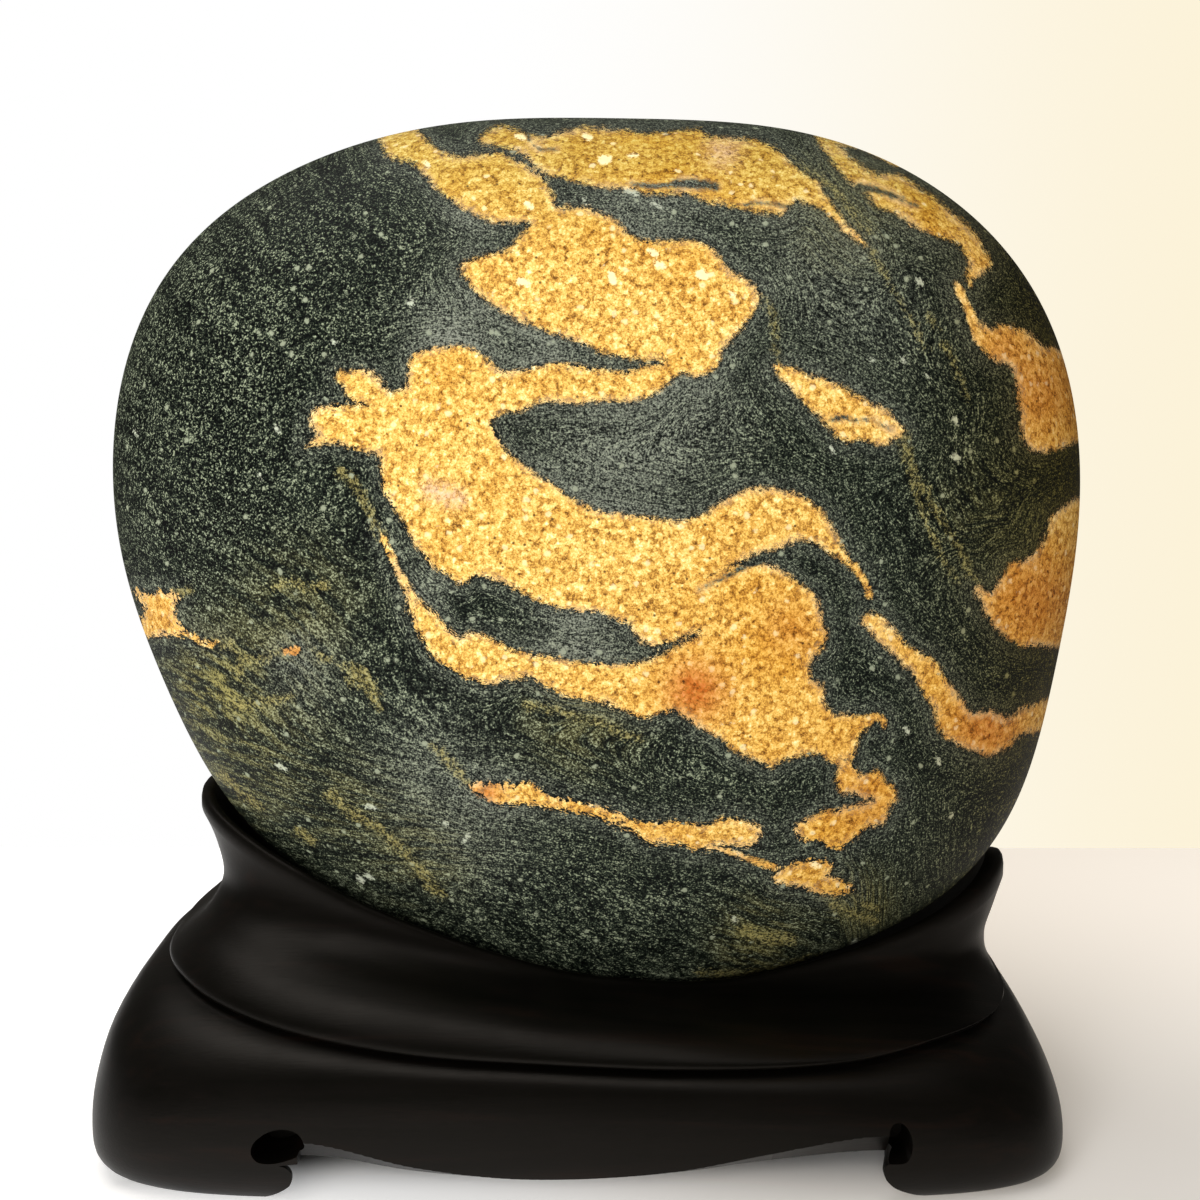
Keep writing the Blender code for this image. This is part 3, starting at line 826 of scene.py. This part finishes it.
def opening_outline(arch, left_toe, left_recede, right_toe, right_recede):
    """One opening's outline: the left foot's toe, the arch, then the right foot's toe.

    A recede moves its toe outward, so that the curl is only as deep as its front.
    """
    left = [(arch[0][0] - out - left_recede, height) for out, height in rounded_path(left_toe, False)]
    right = [(arch[-1][0] + out + right_recede, height) for out, height in rounded_path(right_toe, False)]
    outline = list(reversed(left)) + arch_points(arch) + right
    return outline + [(outline[-1][0], -CUT_BELOW), (outline[0][0], -CUT_BELOW)]


def scoop_outline(arch, side, scoop, pinch):
    """A hollow's outline at the left (-1) or right (1) end of the arch, drawn in by pinch."""
    path = rounded_path(scoop, True)
    middle = path.mean(axis=0)
    end = arch[0][0] if side < 0 else arch[-1][0]
    return [(end + side * out, height) for out, height in middle + (path - middle) * pinch]


def bevel_outline(arch, distance, skirt):
    """The band cut off the apron's lower edge, at a distance outward from the stand's middle."""
    lift = BEVEL_SLOPE * (distance - (skirt - BEVEL_REACH))
    raised = arch_points(arch, lift)
    lower = [(across, height - BEVEL_BELOW) for across, height in arch_points(arch)]
    return [
        (raised[0][0] - BEVEL_OVER, raised[0][1]),
        *raised,
        (raised[-1][0] + BEVEL_OVER, raised[-1][1]),
        (lower[-1][0] + BEVEL_OVER, lower[-1][1]),
        *reversed(lower),
        (lower[0][0] - BEVEL_OVER, lower[0][1]),
    ]


def make_cutter(name, sections, place):
    shape = bmesh.new()
    rings = [
        [shape.verts.new([v * MM for v in place(across, distance, height)]) for across, height in outline]
        for distance, outline in sections
    ]
    for lower, upper in zip(rings, rings[1:]):
        for index, start in enumerate(lower):
            after = (index + 1) % len(lower)
            shape.faces.new((start, lower[after], upper[after], upper[index]))
    shape.faces.new(rings[0])
    shape.faces.new(rings[-1])
    mesh = bpy.data.meshes.new(name)
    bmesh.ops.recalc_face_normals(shape, faces=shape.faces)
    shape.to_mesh(mesh)
    shape.free()
    return make_object(name, mesh)


def cut(target, cutter):
    boolean = target.modifiers.new(cutter.name, "BOOLEAN")
    boolean.operation = "DIFFERENCE"
    boolean.solver = "EXACT"
    boolean.object = cutter


def apply_modifiers(target):
    """Keeps the mesh that the modifiers make and removes the modifiers."""
    graph = bpy.context.evaluated_depsgraph_get()
    made = bpy.data.meshes.new_from_object(target.evaluated_get(graph))
    target.modifiers.clear()
    target.data = made


def carve_openings(stand):
    """Cuts the arches between the feet at the front, the back and both ends, and their bevels."""
    wide = (WIDE_TOE, WIDE_SCOOP, WIDE_RECEDE)
    narrow = (NARROW_TOE, NARROW_SCOOP, NARROW_RECEDE)
    sides = (
        ("front", FRONT_ARCH, wide, lambda a, d, h: (STAND_MIDDLE_X + a, -d, h), SKIRT_DEPTH),
        ("back", FRONT_ARCH, wide, lambda a, d, h: (STAND_MIDDLE_X + a, d, h), SKIRT_DEPTH),
        ("left", END_ARCH, narrow, lambda a, d, h: (STAND_MIDDLE_X - d, a, h), SKIRT_REACH),
        ("right", END_ARCH, narrow, lambda a, d, h: (STAND_MIDDLE_X + d, a, h), SKIRT_REACH),
    )
    cutters = []
    for name, arch, (left_toe, left_scoop, left_recedes), place, skirt in sides:
        inside, outside = skirt - CUT_INWARD, skirt + CUT_OUTWARD
        distances = (inside, skirt - TOE_BACK, skirt - TOE_FRONT, outside)
        opening = [
            (distance, opening_outline(arch, left_toe, left_recede, NARROW_TOE, right_recede))
            for distance, left_recede, right_recede in zip(distances, left_recedes, NARROW_RECEDE)
        ]
        cutters.append(make_cutter(name + "_opening", opening, place))
        flared = [
            (distance, bevel_outline(arch, distance, skirt))
            for distance in (skirt - BEVEL_REACH - BEVEL_START, outside + 1)
        ]
        cutters.append(make_cutter(name + "_bevel", flared, place))
        for side, scoop in ((-1, left_scoop), (1, NARROW_SCOOP)):
            hollow = (
                (skirt - SCOOP_DEPTH, scoop_outline(arch, side, scoop, SCOOP_PINCH)),
                (skirt - SCOOP_DEPTH / 2, scoop_outline(arch, side, scoop, 0.95)),
                (skirt - 1.2, scoop_outline(arch, side, scoop, 1.0)),
                (outside - 1, scoop_outline(arch, side, scoop, 1.12)),
            )
            cutters.append(make_cutter(name + "_scoop", hollow, place))
    for cutter in cutters:
        cut(stand, cutter)
    apply_modifiers(stand)
    for cutter in cutters:
        bpy.data.objects.remove(cutter)


def make_stand():
    stand = make_stand_body()
    carve_openings(stand)
    middle = STAND_MIDDLE_X * MM
    for vertex in stand.data.vertices:
        vertex.co.x = middle + (vertex.co.x - middle) * STAND_TRIM
        vertex.co.y *= STAND_TRIM
    for polygon in stand.data.polygons:
        polygon.use_smooth = True
    stand.data.set_sharp_from_angle(angle=math.radians(38))
    return stand


# ---- materials ----


class Graph:
    """Short calls for a material's nodes."""

    def __init__(self, name):
        self.material = bpy.data.materials.new(name)
        self.material.use_nodes = True
        self.nodes = self.material.node_tree.nodes
        self.links = self.material.node_tree.links
        self.shader = self.nodes["Principled BSDF"]

    def put(self, socket, value):
        if isinstance(value, bpy.types.NodeSocket):
            self.links.new(value, socket)
        elif value is not None:
            socket.default_value = value

    def value(self, attribute):
        node = self.nodes.new("ShaderNodeAttribute")
        node.attribute_type = "GEOMETRY"
        node.attribute_name = attribute
        return node.outputs["Fac"]

    def place(self):
        """Object coordinates in millimetres."""
        node = self.nodes.new("ShaderNodeTexCoord")
        return self.vector("SCALE", node.outputs["Object"], scale=1 / MM)

    def vector(self, operation, a, b=None, scale=None):
        node = self.nodes.new("ShaderNodeVectorMath")
        node.operation = operation
        self.put(node.inputs[0], a)
        self.put(node.inputs[1], b)
        if scale is not None:
            self.put(node.inputs["Scale"], scale)
        return node.outputs["Vector"]

    def combine(self, x, y, z):
        node = self.nodes.new("ShaderNodeCombineXYZ")
        for socket, value in zip(node.inputs, (x, y, z)):
            self.put(socket, value)
        return node.outputs[0]

    def split(self, vector):
        node = self.nodes.new("ShaderNodeSeparateXYZ")
        self.put(node.inputs[0], vector)
        return node.outputs

    def math(self, operation, a, b=None, c=None, clamp=False):
        node = self.nodes.new("ShaderNodeMath")
        node.operation = operation
        node.use_clamp = clamp
        for socket, value in zip(node.inputs, (a, b, c)):
            self.put(socket, value)
        return node.outputs[0]

    def noise(self, place, scale, detail=2.0, roughness=0.5, distortion=0.0):
        node = self.nodes.new("ShaderNodeTexNoise")
        self.put(node.inputs["Vector"], place)
        self.put(node.inputs["Scale"], scale)
        self.put(node.inputs["Detail"], detail)
        self.put(node.inputs["Roughness"], roughness)
        self.put(node.inputs["Distortion"], distortion)
        return node.outputs["Fac"]

    def cells(self, place, scale, feature="F1", randomness=1.0):
        node = self.nodes.new("ShaderNodeTexVoronoi")
        node.feature = feature
        self.put(node.inputs["Vector"], place)
        self.put(node.inputs["Scale"], scale)
        self.put(node.inputs["Randomness"], randomness)
        return node.outputs

    def span(self, value, low, high, to_low=0.0, to_high=1.0):
        """Maps a value from one range to another with soft ends."""
        node = self.nodes.new("ShaderNodeMapRange")
        node.interpolation_type = "SMOOTHSTEP"
        for socket, number in zip(node.inputs, (value, low, high, to_low, to_high)):
            self.put(socket, number)
        return node.outputs[0]

    def ramp(self, value, stops):
        node = self.nodes.new("ShaderNodeValToRGB")
        elements = node.color_ramp.elements
        for index, (position, colour) in enumerate(stops):
            element = elements[index] if index < 2 else elements.new(position)
            element.position = position
            element.color = (*colour, 1.0)
        self.put(node.inputs[0], value)
        return node.outputs[0]

    def mix(self, share, first, second, kind="MIX"):
        node = self.nodes.new("ShaderNodeMix")
        node.data_type = "RGBA"
        node.blend_type = kind
        node.clamp_factor = True
        self.put(node.inputs[0], share)
        for socket, colour in ((node.inputs[6], first), (node.inputs[7], second)):
            self.put(socket, colour if isinstance(colour, bpy.types.NodeSocket) else (*colour, 1.0))
        return node.outputs[2]

    def tint(self, share, colour, factor):
        """Multiplies a colour by a factor, as far as share says."""
        return self.mix(share, colour, self.mix(1.0, colour, factor, "MULTIPLY"))

    def bump(self, height, distance, strength=1.0, normal=None):
        node = self.nodes.new("ShaderNodeBump")
        self.put(node.inputs["Height"], height)
        self.put(node.inputs["Distance"], distance)
        self.put(node.inputs["Strength"], strength)
        self.put(node.inputs["Normal"], normal)
        return node.outputs[0]


def linear(red, green, blue):
    """Turns a display colour from 0 to 255 into linear light."""
    return tuple(
        v / 255 / 12.92 if v <= 10 else ((v / 255 + 0.055) / 1.055) ** 2.4 for v in (red, green, blue)
    )


def stone_material():
    g = Graph("stone")
    place = g.place()
    mark, vein, trace = (g.value(name) for name in ("mark", "vein", "trace"))
    slit, chip = (g.value(name) for name in ("slit", "fleck"))
    stain, amber, olive = (g.value(name) for name in ("stain", "amber", "olive"))
    blush, ashen, drawn, flow = (g.value(name) for name in ("blush", "ashen", "drawn", "flow"))
    x, y, z = g.split(place)

    # Textures that several parts share: grains, salt and pepper, and streaks along the flow
    fine = g.noise(place, 2.3, 2.0, 0.6)
    salt = g.noise(place, 1.15, 3.0, 0.78)
    mottle = g.noise(place, 0.11, 2.0, 0.6)
    level = g.math("MULTIPLY_ADD", mottle, 1.2, flow)
    streak_place = g.combine(
        g.math("MULTIPLY", level, 1.8), g.math("MULTIPLY", x, 0.66), g.math("MULTIPLY", z, 0.66)
    )
    streak = g.noise(streak_place, 1.0, 3.0, 0.7)
    band_place = g.combine(
        g.math("MULTIPLY", level, 0.42), g.math("MULTIPLY", x, 0.09), g.math("MULTIPLY", z, 0.09)
    )
    band = g.noise(band_place, 1.0, 3.0, 0.65)
    coarse = g.noise(place, 0.7, 2.0, 0.6)
    grain = g.cells(place, 1.3)
    shade = g.split(grain["Color"])
    grit = g.cells(g.vector("ADD", place, (5.0, 3.0, 2.0)), 0.8)
    tones = g.split(grit["Color"])
    lump = g.cells(g.vector("ADD", place, (31.0, 7.0, 11.0)), 0.42)
    lone = g.split(lump["Color"])

    # Edge of the marks: lobes, streaks, then single grains
    lobes = g.math("SUBTRACT", g.noise(place, 0.32, 2.0), 0.5)
    tears = g.math("SUBTRACT", streak, 0.5)
    crumbs = g.math("SUBTRACT", salt, 0.5)
    ragged = g.math("MULTIPLY_ADD", tears, 6.2, g.math("MULTIPLY", crumbs, 4.2))
    torn = g.math("ADD", g.math("MULTIPLY_ADD", lobes, 2.0, mark), ragged)
    slight = g.math("MULTIPLY", ragged, 0.5)
    thin = g.math("ADD", g.math("MULTIPLY_ADD", lobes, 1.8, vein), slight)
    split = g.math("ADD", g.math("MULTIPLY_ADD", lobes, 1.2, slit), slight)
    edge = g.math("MINIMUM", g.math("MAXIMUM", torn, thin), g.math("MULTIPLY", split, -1.0))
    ochre = g.span(edge, -0.25, 0.25)

    # Ochre: sand of many tones, with quartz grains, dark specks and stains
    sand = g.math("MULTIPLY_ADD", fine, 0.4, g.math("MULTIPLY_ADD", coarse, 0.6, 0.02))
    sand = g.math("MULTIPLY_ADD", g.math("SUBTRACT", tones[0], 0.5), 0.2, sand)
    sand = g.math("MULTIPLY_ADD", crumbs, 0.6, g.math("MULTIPLY_ADD", tears, 0.25, sand))
    sand = g.math("MULTIPLY_ADD", grit["Distance"], -0.1, sand)
    golden = g.ramp(sand, (
        (0.20, linear(104, 68, 28)), (0.36, linear(184, 134, 58)), (0.50, linear(229, 183, 92)),
        (0.64, linear(250, 216, 134)), (0.80, linear(255, 247, 204)),
    ))
    warm = g.math("MULTIPLY_ADD", amber, 0.55, g.span(mottle, 0.42, 0.66, 0.0, 0.25), clamp=True)
    golden = g.tint(warm, golden, (0.76, 0.57, 0.18))
    # Painted shade: the ochre is darkened and cooled towards the top of the stone, from z = 205 to 234 mm
    golden = g.tint(g.span(z, 205.0, 234.0), golden, (0.76, 0.87, 0.82))
    speck = g.math(
        "MULTIPLY", g.span(lump["Distance"], 0.08, 0.17, 0.85, 0.0),
        g.math("GREATER_THAN", lone[1], 0.62),
    )
    golden = g.mix(speck, golden, linear(66, 42, 24))
    crystal = g.math("MULTIPLY_ADD", crumbs, 0.9, lump["Distance"])
    quartz = g.math(
        "MULTIPLY", g.span(crystal, 0.20, 0.34, 0.6, 0.0), g.math("GREATER_THAN", lone[0], 0.82)
    )
    golden = g.mix(quartz, golden, linear(255, 236, 182))
    chips = g.span(g.math("MULTIPLY_ADD", crumbs, 2.4, chip), 0.2, 0.8, 0.0, 0.8)
    golden = g.mix(chips, golden, linear(255, 238, 186))
    rust = g.math("MULTIPLY", g.math("MULTIPLY_ADD", crumbs, 1.6, 0.9), stain, clamp=True)
    golden = g.tint(rust, golden, (0.62, 0.26, 0.14))
    pale = g.math("MULTIPLY", blush, g.span(salt, 0.38, 0.6, 0.2, 0.9), clamp=True)
    golden = g.mix(pale, golden, linear(220, 188, 164))
    fringe = g.math(
        "MULTIPLY", g.span(edge, 0.2, 1.5, 1.0, 0.0), g.span(mottle, 0.35, 0.6, 0.6, 0.1)
    )
    golden = g.mix(fringe, golden, linear(222, 188, 138))

    # Dark matrix: salt and pepper where it is even, short streaks where it has flowed
    tone = g.math("SUBTRACT", streak, salt)
    tone = g.math("MULTIPLY_ADD", tone, g.math("MULTIPLY", drawn, 0.66), salt)
    tone = g.math("MULTIPLY_ADD", g.math("SUBTRACT", fine, 0.5), 0.6, tone)
    tone = g.math("MULTIPLY_ADD", g.math("SUBTRACT", band, 0.5), 0.30, tone)
    tone = g.math("MULTIPLY_ADD", g.math("SUBTRACT", drawn, 1.0), 0.022, tone)
    tone = g.math("MULTIPLY_ADD", ashen, 0.05, tone)
    dark = g.ramp(tone, (
        (0.34, linear(1, 2, 2)), (0.43, linear(6, 9, 7)), (0.50, linear(18, 24, 19)),
        (0.58, linear(52, 60, 48)), (0.70, linear(150, 158, 132)),
    ))
    pepper = g.math(
        "MULTIPLY", g.span(grain["Distance"], 0.16, 0.36, 0.6, 0.0),
        g.math("GREATER_THAN", shade[1], 0.93),
    )
    dark = g.mix(pepper, dark, linear(138, 144, 122))
    fleck = g.math(
        "MULTIPLY", g.span(crystal, 0.16, 0.32, 0.55, 0.0), g.math("GREATER_THAN", lone[2], 0.93)
    )
    dark = g.mix(fleck, dark, linear(182, 190, 162))
    dark = g.mix(chips, dark, linear(200, 206, 184))
    halo = g.math("ADD", ashen, g.span(edge, -6.0, -1.2, 0.0, 0.25))
    ash = g.math("MULTIPLY", halo, g.span(tone, 0.42, 0.62, 0.02, 0.85), clamp=True)
    dark = g.mix(ash, dark, linear(138, 142, 130))
    # Painted shade: the dark matrix turns darker and browner towards the stone's right side, from x = 60 to 114 mm
    dark = g.tint(g.span(x, 60.0, 114.0), dark, (0.66, 0.48, 0.14))
    moss = g.math(
        "MULTIPLY", g.span(band, 0.42, 0.60, 0.1, 1.0), g.span(tone, 0.42, 0.60, 0.1, 1.0)
    )
    dark = g.mix(g.math("MULTIPLY", olive, moss, clamp=True), dark, linear(150, 142, 84))
    line = g.math("ADD", g.math("MULTIPLY_ADD", lobes, 3.5, trace), ragged)
    broken = g.math("MULTIPLY", g.span(line, -0.8, 1.0), g.span(salt, 0.42, 0.60, 0.05, 0.6))
    dark = g.mix(broken, dark, linear(170, 158, 96))
    rim = g.math(
        "MULTIPLY", g.span(edge, -1.3, -0.25, 0.0, 0.85), g.span(streak, 0.38, 0.55, 1.0, 0.25)
    )
    dark = g.mix(rim, dark, linear(12, 13, 14))

    g.put(g.shader.inputs["Base Color"], g.mix(ochre, dark, golden))
    rough = g.math("MULTIPLY_ADD", fine, 0.25, g.math("MULTIPLY_ADD", ochre, 0.08, 0.46))
    g.put(g.shader.inputs["Roughness"], rough)
    g.shader.inputs["Specular IOR Level"].default_value = 0.09
    relief = g.math("MULTIPLY_ADD", grain["Distance"], -0.5, salt)
    g.put(g.shader.inputs["Normal"], g.bump(relief, 0.1 * MM))
    return g.material


def wood_material():
    g = Graph("wood")
    place = g.place()
    x, y, z = g.split(place)
    grain_place = g.combine(g.math("MULTIPLY", x, 0.05), y, z)
    figure = g.noise(grain_place, 0.22, 3.0, 0.6, 0.6)
    pores = g.noise(g.combine(g.math("MULTIPLY", x, 0.1), y, z), 2.2, 2.0, 0.6)
    colour = g.ramp(figure, (
        (0.3, linear(2, 2, 1)), (0.55, linear(5, 4, 3)), (0.78, linear(16, 8, 5)),
    ))
    g.put(g.shader.inputs["Base Color"], colour)
    cloudy = g.noise(place, 0.06, 2.0, 0.6)
    g.put(g.shader.inputs["Roughness"], g.math("MULTIPLY_ADD", pores, 0.12, g.math("MULTIPLY_ADD", cloudy, 0.14, 0.3)))
    g.shader.inputs["Specular IOR Level"].default_value = 0.16
    g.shader.inputs["Specular Tint"].default_value = (1.0, 0.92, 0.84, 1.0)
    g.put(g.shader.inputs["Normal"], g.bump(pores, 0.03 * MM))
    return g.material


def floor_material():
    """A pale table top glowing with painted light, brighter on the left and towards the back and warmer on the right,
    with painted shadow under the stand.
    """
    g = Graph("floor")
    x, y, _ = g.split(g.place())
    g.shader.inputs["Base Color"].default_value = (*linear(226, 224, 222), 1.0)
    g.shader.inputs["Roughness"].default_value = 0.45
    # Painted light: the table glows, warmer on the right, stronger on the left and towards the back
    right = g.span(x, -60.0, 120.0)
    g.put(g.shader.inputs["Emission Color"], g.mix(right, (1.0, 1.0, 1.0), (1.0, 0.87, 0.71)))
    painted_floor_light = g.math("ADD", g.span(y, -110.0, 200.0, 0.14, 0.5), g.span(right, 0.0, 1.0, 0.3, 0.0))
    # Painted shadow: the glow is taken away under the stand
    from_middle = g.math("ABSOLUTE", g.math("SUBTRACT", x, STAND_MIDDLE_X))
    beside = g.span(from_middle, 90.0, 112.0)
    before = g.span(g.math("ABSOLUTE", y), 40.0, 60.0)
    outside_painted_shadow = g.math("MAXIMUM", beside, before)
    g.put(g.shader.inputs["Emission Strength"], g.math("MULTIPLY", painted_floor_light, outside_painted_shadow))
    return g.material


# ---- room ----


def make_camera():
    data = bpy.data.cameras.new("camera")
    data.sensor_width = SENSOR_WIDTH
    data.lens = SENSOR_WIDTH * FOCAL_PIXELS / PHOTO_SIZE
    data.clip_start = 0.01
    data.clip_end = 50.0
    camera = bpy.data.objects.new("camera", data)
    camera.location = [value * MM for value in CAMERA_PLACE]
    camera.rotation_euler = (math.radians(90 - CAMERA_PITCH), 0.0, 0.0)
    bpy.context.scene.collection.objects.link(camera)
    bpy.context.scene.camera = camera


def make_floor():
    shape = bmesh.new()
    corners = ((-2.5, -2.5), (2.5, -2.5), (2.5, 0.222), (-2.5, 0.222))
    shape.faces.new([shape.verts.new((x, y, 0.0)) for x, y in corners])
    mesh = bpy.data.meshes.new("floor")
    shape.to_mesh(mesh)
    shape.free()
    floor = make_object("floor", mesh)
    floor.data.materials.append(floor_material())


def make_light(name, place, target, size, power, colour, mirrored=True):
    data = bpy.data.lights.new(name, "AREA")
    data.shape = "RECTANGLE"
    data.size, data.size_y = size
    data.energy = power
    data.color = colour
    light = bpy.data.objects.new(name, data)
    light.location = place
    light.rotation_euler = (Vector(target) - Vector(place)).to_track_quat("-Z", "Y").to_euler()
    light.visible_glossy = mirrored
    bpy.context.scene.collection.objects.link(light)


def make_lights():
    middle = (0.0, 0.0, 0.12)
    make_light("front", (-0.4, -1.35, 0.5), middle, (0.9, 0.8), 18.0, (1.0, 0.99, 0.97), False)
    make_light("window", (-0.75, -0.95, 1.0), middle, (0.5, 0.5), 3.0, (0.97, 0.99, 1.0), False)
    make_light("top", (-0.3, -0.12, 1.3), middle, (1.3, 0.8), 11.0, (1.0, 0.98, 0.95))
    make_world()


def make_world():
    """A pale room: white on the left, cream on the right, and dimmer as a light than to the eye."""
    world = bpy.data.worlds.new("studio")
    bpy.context.scene.world = world
    world.use_nodes = True
    nodes, links = world.node_tree.nodes, world.node_tree.links
    place = nodes.new("ShaderNodeTexCoord")
    split = nodes.new("ShaderNodeSeparateXYZ")
    links.new(place.outputs["Generated"], split.inputs[0])
    ramp = nodes.new("ShaderNodeValToRGB")
    ramp.color_ramp.interpolation = "EASE"
    ramp.color_ramp.elements[0].position = 0.46
    ramp.color_ramp.elements[0].color = (*linear(255, 255, 255), 1.0)
    ramp.color_ramp.elements[1].position = 0.68
    ramp.color_ramp.elements[1].color = (*linear(252, 242, 216), 1.0)
    shift = nodes.new("ShaderNodeMapRange")
    shift.inputs["From Min"].default_value = -1.0
    links.new(split.outputs[0], shift.inputs[0])
    links.new(shift.outputs[0], ramp.inputs[0])
    seen = nodes["Background"]
    seen.inputs["Strength"].default_value = 1.0
    links.new(ramp.outputs[0], seen.inputs["Color"])
    felt = nodes.new("ShaderNodeBackground")
    felt.inputs["Color"].default_value = (1.0, 0.93, 0.82, 1.0)
    felt.inputs["Strength"].default_value = 0.12
    path = nodes.new("ShaderNodeLightPath")
    mixed = nodes.new("ShaderNodeMixShader")
    links.new(path.outputs["Is Camera Ray"], mixed.inputs[0])
    links.new(felt.outputs[0], mixed.inputs[1])
    links.new(seen.outputs[0], mixed.inputs[2])
    links.new(mixed.outputs[0], nodes["World Output"].inputs["Surface"])


make_camera()
stone = make_stone()
stone.data.materials.append(stone_material())
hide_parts("stone")
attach(stone, "root")
stand = make_stand()
stand.data.materials.clear()
stand.data.materials.append(wood_material())
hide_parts("stand")
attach(stand, "root")
make_floor()
make_lights()
bpy.context.scene.view_settings.view_transform = "Standard"
